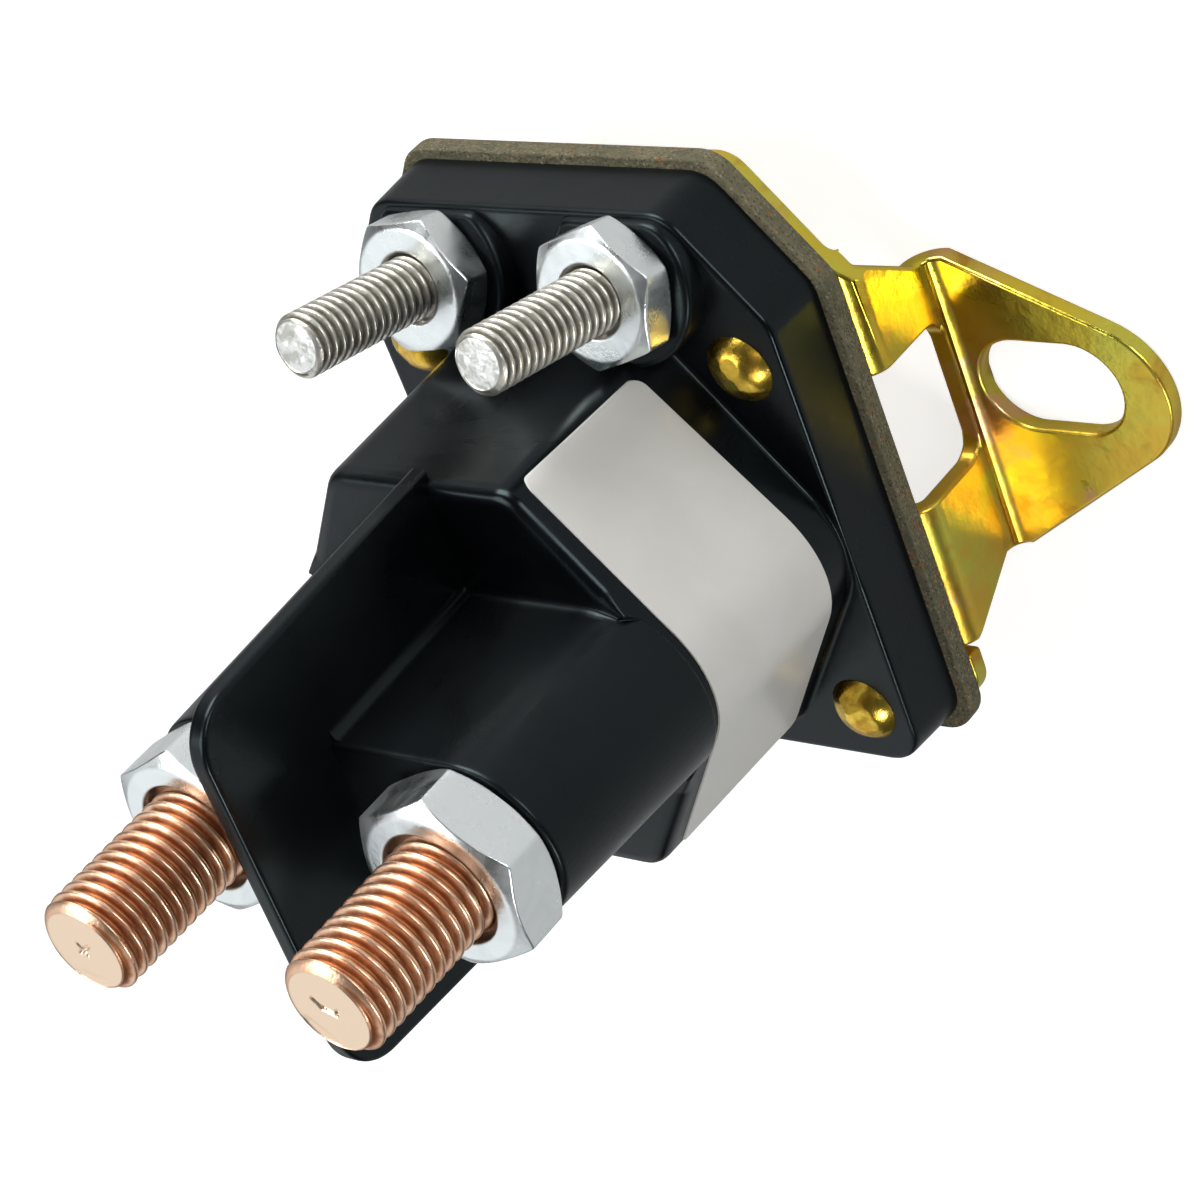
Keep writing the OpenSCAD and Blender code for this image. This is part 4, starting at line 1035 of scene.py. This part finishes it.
wire_coat = plain_metal("enamelled_copper_wire", (0.62, 0.27, 0.11), 0.24, brushed=EVEN)
fine_wire = winding(inner=6.63, outer=11.43, low=1.0, high=14.7, pitch=0.5)
add_piece("coil_of_fine_wire", fine_wire, wire_coat, "enamelled_wire", ["coil_winding"], sharp=70)

# %% [markdown]
# ## Finishes for the inner solids
#
# The can, core, plunger and contacts keep their CAD shape and only change their finish,
# which is given to the object's material slot.

# %% Dressing the solids that stay
def plain_moulded(name, tone, rough):
    """A dull moulded or wound piece with a fine uneven surface."""
    return two_tone(Finish(name), tone, rough, 260.0, 0.85, 0.12, 900.0)


turned_steel = plain_metal("turned_steel", (0.52, 0.52, 0.51), 0.30)
inner_finishes = {
    turned_steel: ["coil_can", "flux_washer", "fixed_core", "plunger", "push_rod"],
    plain_metal("drawn_brass", (0.80, 0.60, 0.28), 0.28): ["guide_tube"],
    plain_metal("contact_copper", (0.85, 0.45, 0.28), 0.30): ["contact_bar"],
    spring_steel: ["retaining_clip"],
    plain_moulded("natural_nylon", (0.72, 0.69, 0.57), 0.42): ["bobbin"],
    plain_moulded("amber_tape", (0.70, 0.48, 0.08), 0.25): ["coil_tape"],
    plain_moulded("red_sleeve", (0.40, 0.03, 0.02), 0.45): ["coil_lead_left", "coil_lead_right"],
    plain_moulded("brown_laminate", (0.20, 0.085, 0.03), 0.50): ["upper_insulator", "lower_insulator"],
    plain_moulded("black_rubber", (0.02, 0.02, 0.02), 0.75): ["stop_pad"],
}
for finish, names in inner_finishes.items():
    for node in names:
        solids[node].data.materials.clear()
        solids[node].data.materials.append(finish)
print("inner solids dressed:", sum(len(n) for n in inner_finishes.values()))

# %% [markdown]
# ## Floor, light and camera
#
# The photograph shows the part on pure white. The floor glows for the camera alone, and the
# world is white for the camera and, on the side that the part faces, for reflections, so the
# lamps stay at the level where a colour looks as it is written. From below, the floor is
# clear. The camera was found from the threads and the parallel edges of the part.

# %% The floor
floor_paint = bpy.data.materials.new("white_floor")
floor_paint.use_nodes = True
tree = floor_paint.node_tree
shader = tree.nodes["Principled BSDF"]
shader.inputs["Base Color"].default_value = (0.56, 0.56, 0.56, 1)
shader.inputs["Roughness"].default_value = 0.9
shader.inputs["Specular IOR Level"].default_value = 0.0
shader.inputs["Emission Color"].default_value = (1, 1, 1, 1)
rays = tree.nodes.new("ShaderNodeLightPath").outputs
glow = step(tree, "Math", [(0, rays["Is Camera Ray"])], operation="MULTIPLY")
glow.inputs[1].default_value = 0.72
tree.links.new(glow.outputs[0], shader.inputs["Emission Strength"])
from_below = tree.nodes.new("ShaderNodeNewGeometry").outputs["Backfacing"]
clear = tree.nodes.new("ShaderNodeBsdfTransparent").outputs["BSDF"]
painted = step(tree, "MixShader", [(0, from_below), (1, shader.outputs["BSDF"]), (2, clear)])
tree.links.new(painted.outputs[0], tree.nodes["Material Output"].inputs["Surface"])

HALF_FLOOR, FLOOR_Z = 2.5, -0.0002
signs = ((-1, -1), (1, -1), (1, 1), (-1, 1))
corners = [(x * HALF_FLOOR, y * HALF_FLOOR, FLOOR_Z) for x, y in signs]
floor_mesh = bpy.data.meshes.new("floor")
floor_mesh.from_pydata(corners, [], [(0, 1, 2, 3)])
floor_mesh.materials.append(floor_paint)
floor = new_object("floor", floor_mesh)
print("floor", 2 * HALF_FLOOR, "m wide")

# %% The camera
EYE = (0.173563, 0.133286, 0.177957)
RIGHT, DOWN = (0.76019, -0.32138, -0.56464), (0.10675, -0.79549, 0.59649)
AHEAD = (-0.64087, -0.51372, -0.57042)
axes = Matrix((RIGHT, DOWN, AHEAD)).transposed() @ Matrix(((1, 0, 0), (0, -1, 0), (0, 0, -1)))
camera = new_object("camera", bpy.data.cameras.new("camera"))
camera.data.lens, camera.data.sensor_width = 112.667, 36.0
camera.data.clip_start, camera.data.clip_end = 0.01, 20.0
camera.matrix_world = Matrix.Translation(EYE) @ axes.to_4x4()
bpy.context.scene.camera = camera
print("camera at", EYE)

# %% The lamps
MIDDLE = Vector((0.0, -0.002, 0.030))


def lamp(name, offset, size, watts, tint):
    """A soft square lamp aimed at the part's middle, from which its offset is given as
    (right, up, towards the camera) in metres as the camera sees it."""
    light = bpy.data.lights.new(name, "AREA")
    light.size, light.energy, light.color = size, watts, tint
    away = axes @ Vector(offset)
    turned = away.to_track_quat("Z", "Y").to_matrix().to_4x4()
    new_object(name, light).matrix_world = Matrix.Translation(MIDDLE + away) @ turned
    print("lamp", name, watts, "W")


lamp("key_window", (-0.30, 0.36, 0.22), 0.30, 2.9, (1.0, 0.99, 0.97))
lamp("front_fill", (0.16, 0.10, 0.60), 0.22, 1.2, (1.0, 1.0, 1.0))
lamp("low_front", (0.10, -0.42, 0.26), 0.13, 0.75, (1.0, 0.99, 0.97))
lamp("low_left", (-0.44, -0.10, 0.20), 0.26, 1.0, (0.97, 0.98, 1.0))

# %% The world
world = bpy.data.worlds.new("studio")
bpy.context.scene.world = world
world.use_nodes = True
tree = world.node_tree
tree.nodes.clear()
room = step(tree, "Background", Color=(0.92, 0.95, 1.0, 1), Strength=0.20)
white = step(tree, "Background", Color=(1, 1, 1, 1), Strength=1.0)
direction = step(tree, "TexCoord").outputs["Generated"]
facing = step(tree, "VectorMath", [(0, direction)], operation="DOT_PRODUCT")
facing.inputs[1].default_value = (-0.641, -0.514, 0.570)
studio = step(
    tree, "MapRange", [("Value", facing.outputs["Value"])],
    From_Min=0.62, From_Max=0.95, To_Min=0.05, To_Max=0.88, interpolation_type="SMOOTHSTEP",
)
mirrored = step(
    tree, "Background", [("Strength", studio.outputs["Result"])], Color=(0.96, 0.98, 1.0, 1)
)
rays = tree.nodes.new("ShaderNodeLightPath").outputs
links = [(0, rays["Is Camera Ray"]), (1, rays["Is Transmission Ray"])]
direct = step(tree, "Math", links, operation="MAXIMUM").outputs[0]
links = [(0, rays["Is Glossy Ray"]), (1, room.outputs[0]), (2, mirrored.outputs[0])]
indirect = step(tree, "MixShader", links).outputs[0]
seen = step(tree, "MixShader", [(0, direct), (1, indirect), (2, white.outputs[0])])
tree.links.new(seen.outputs[0], tree.nodes.new("ShaderNodeOutputWorld").inputs["Surface"])
bpy.context.scene.view_settings.view_transform = "Standard"
print("world", world.name)
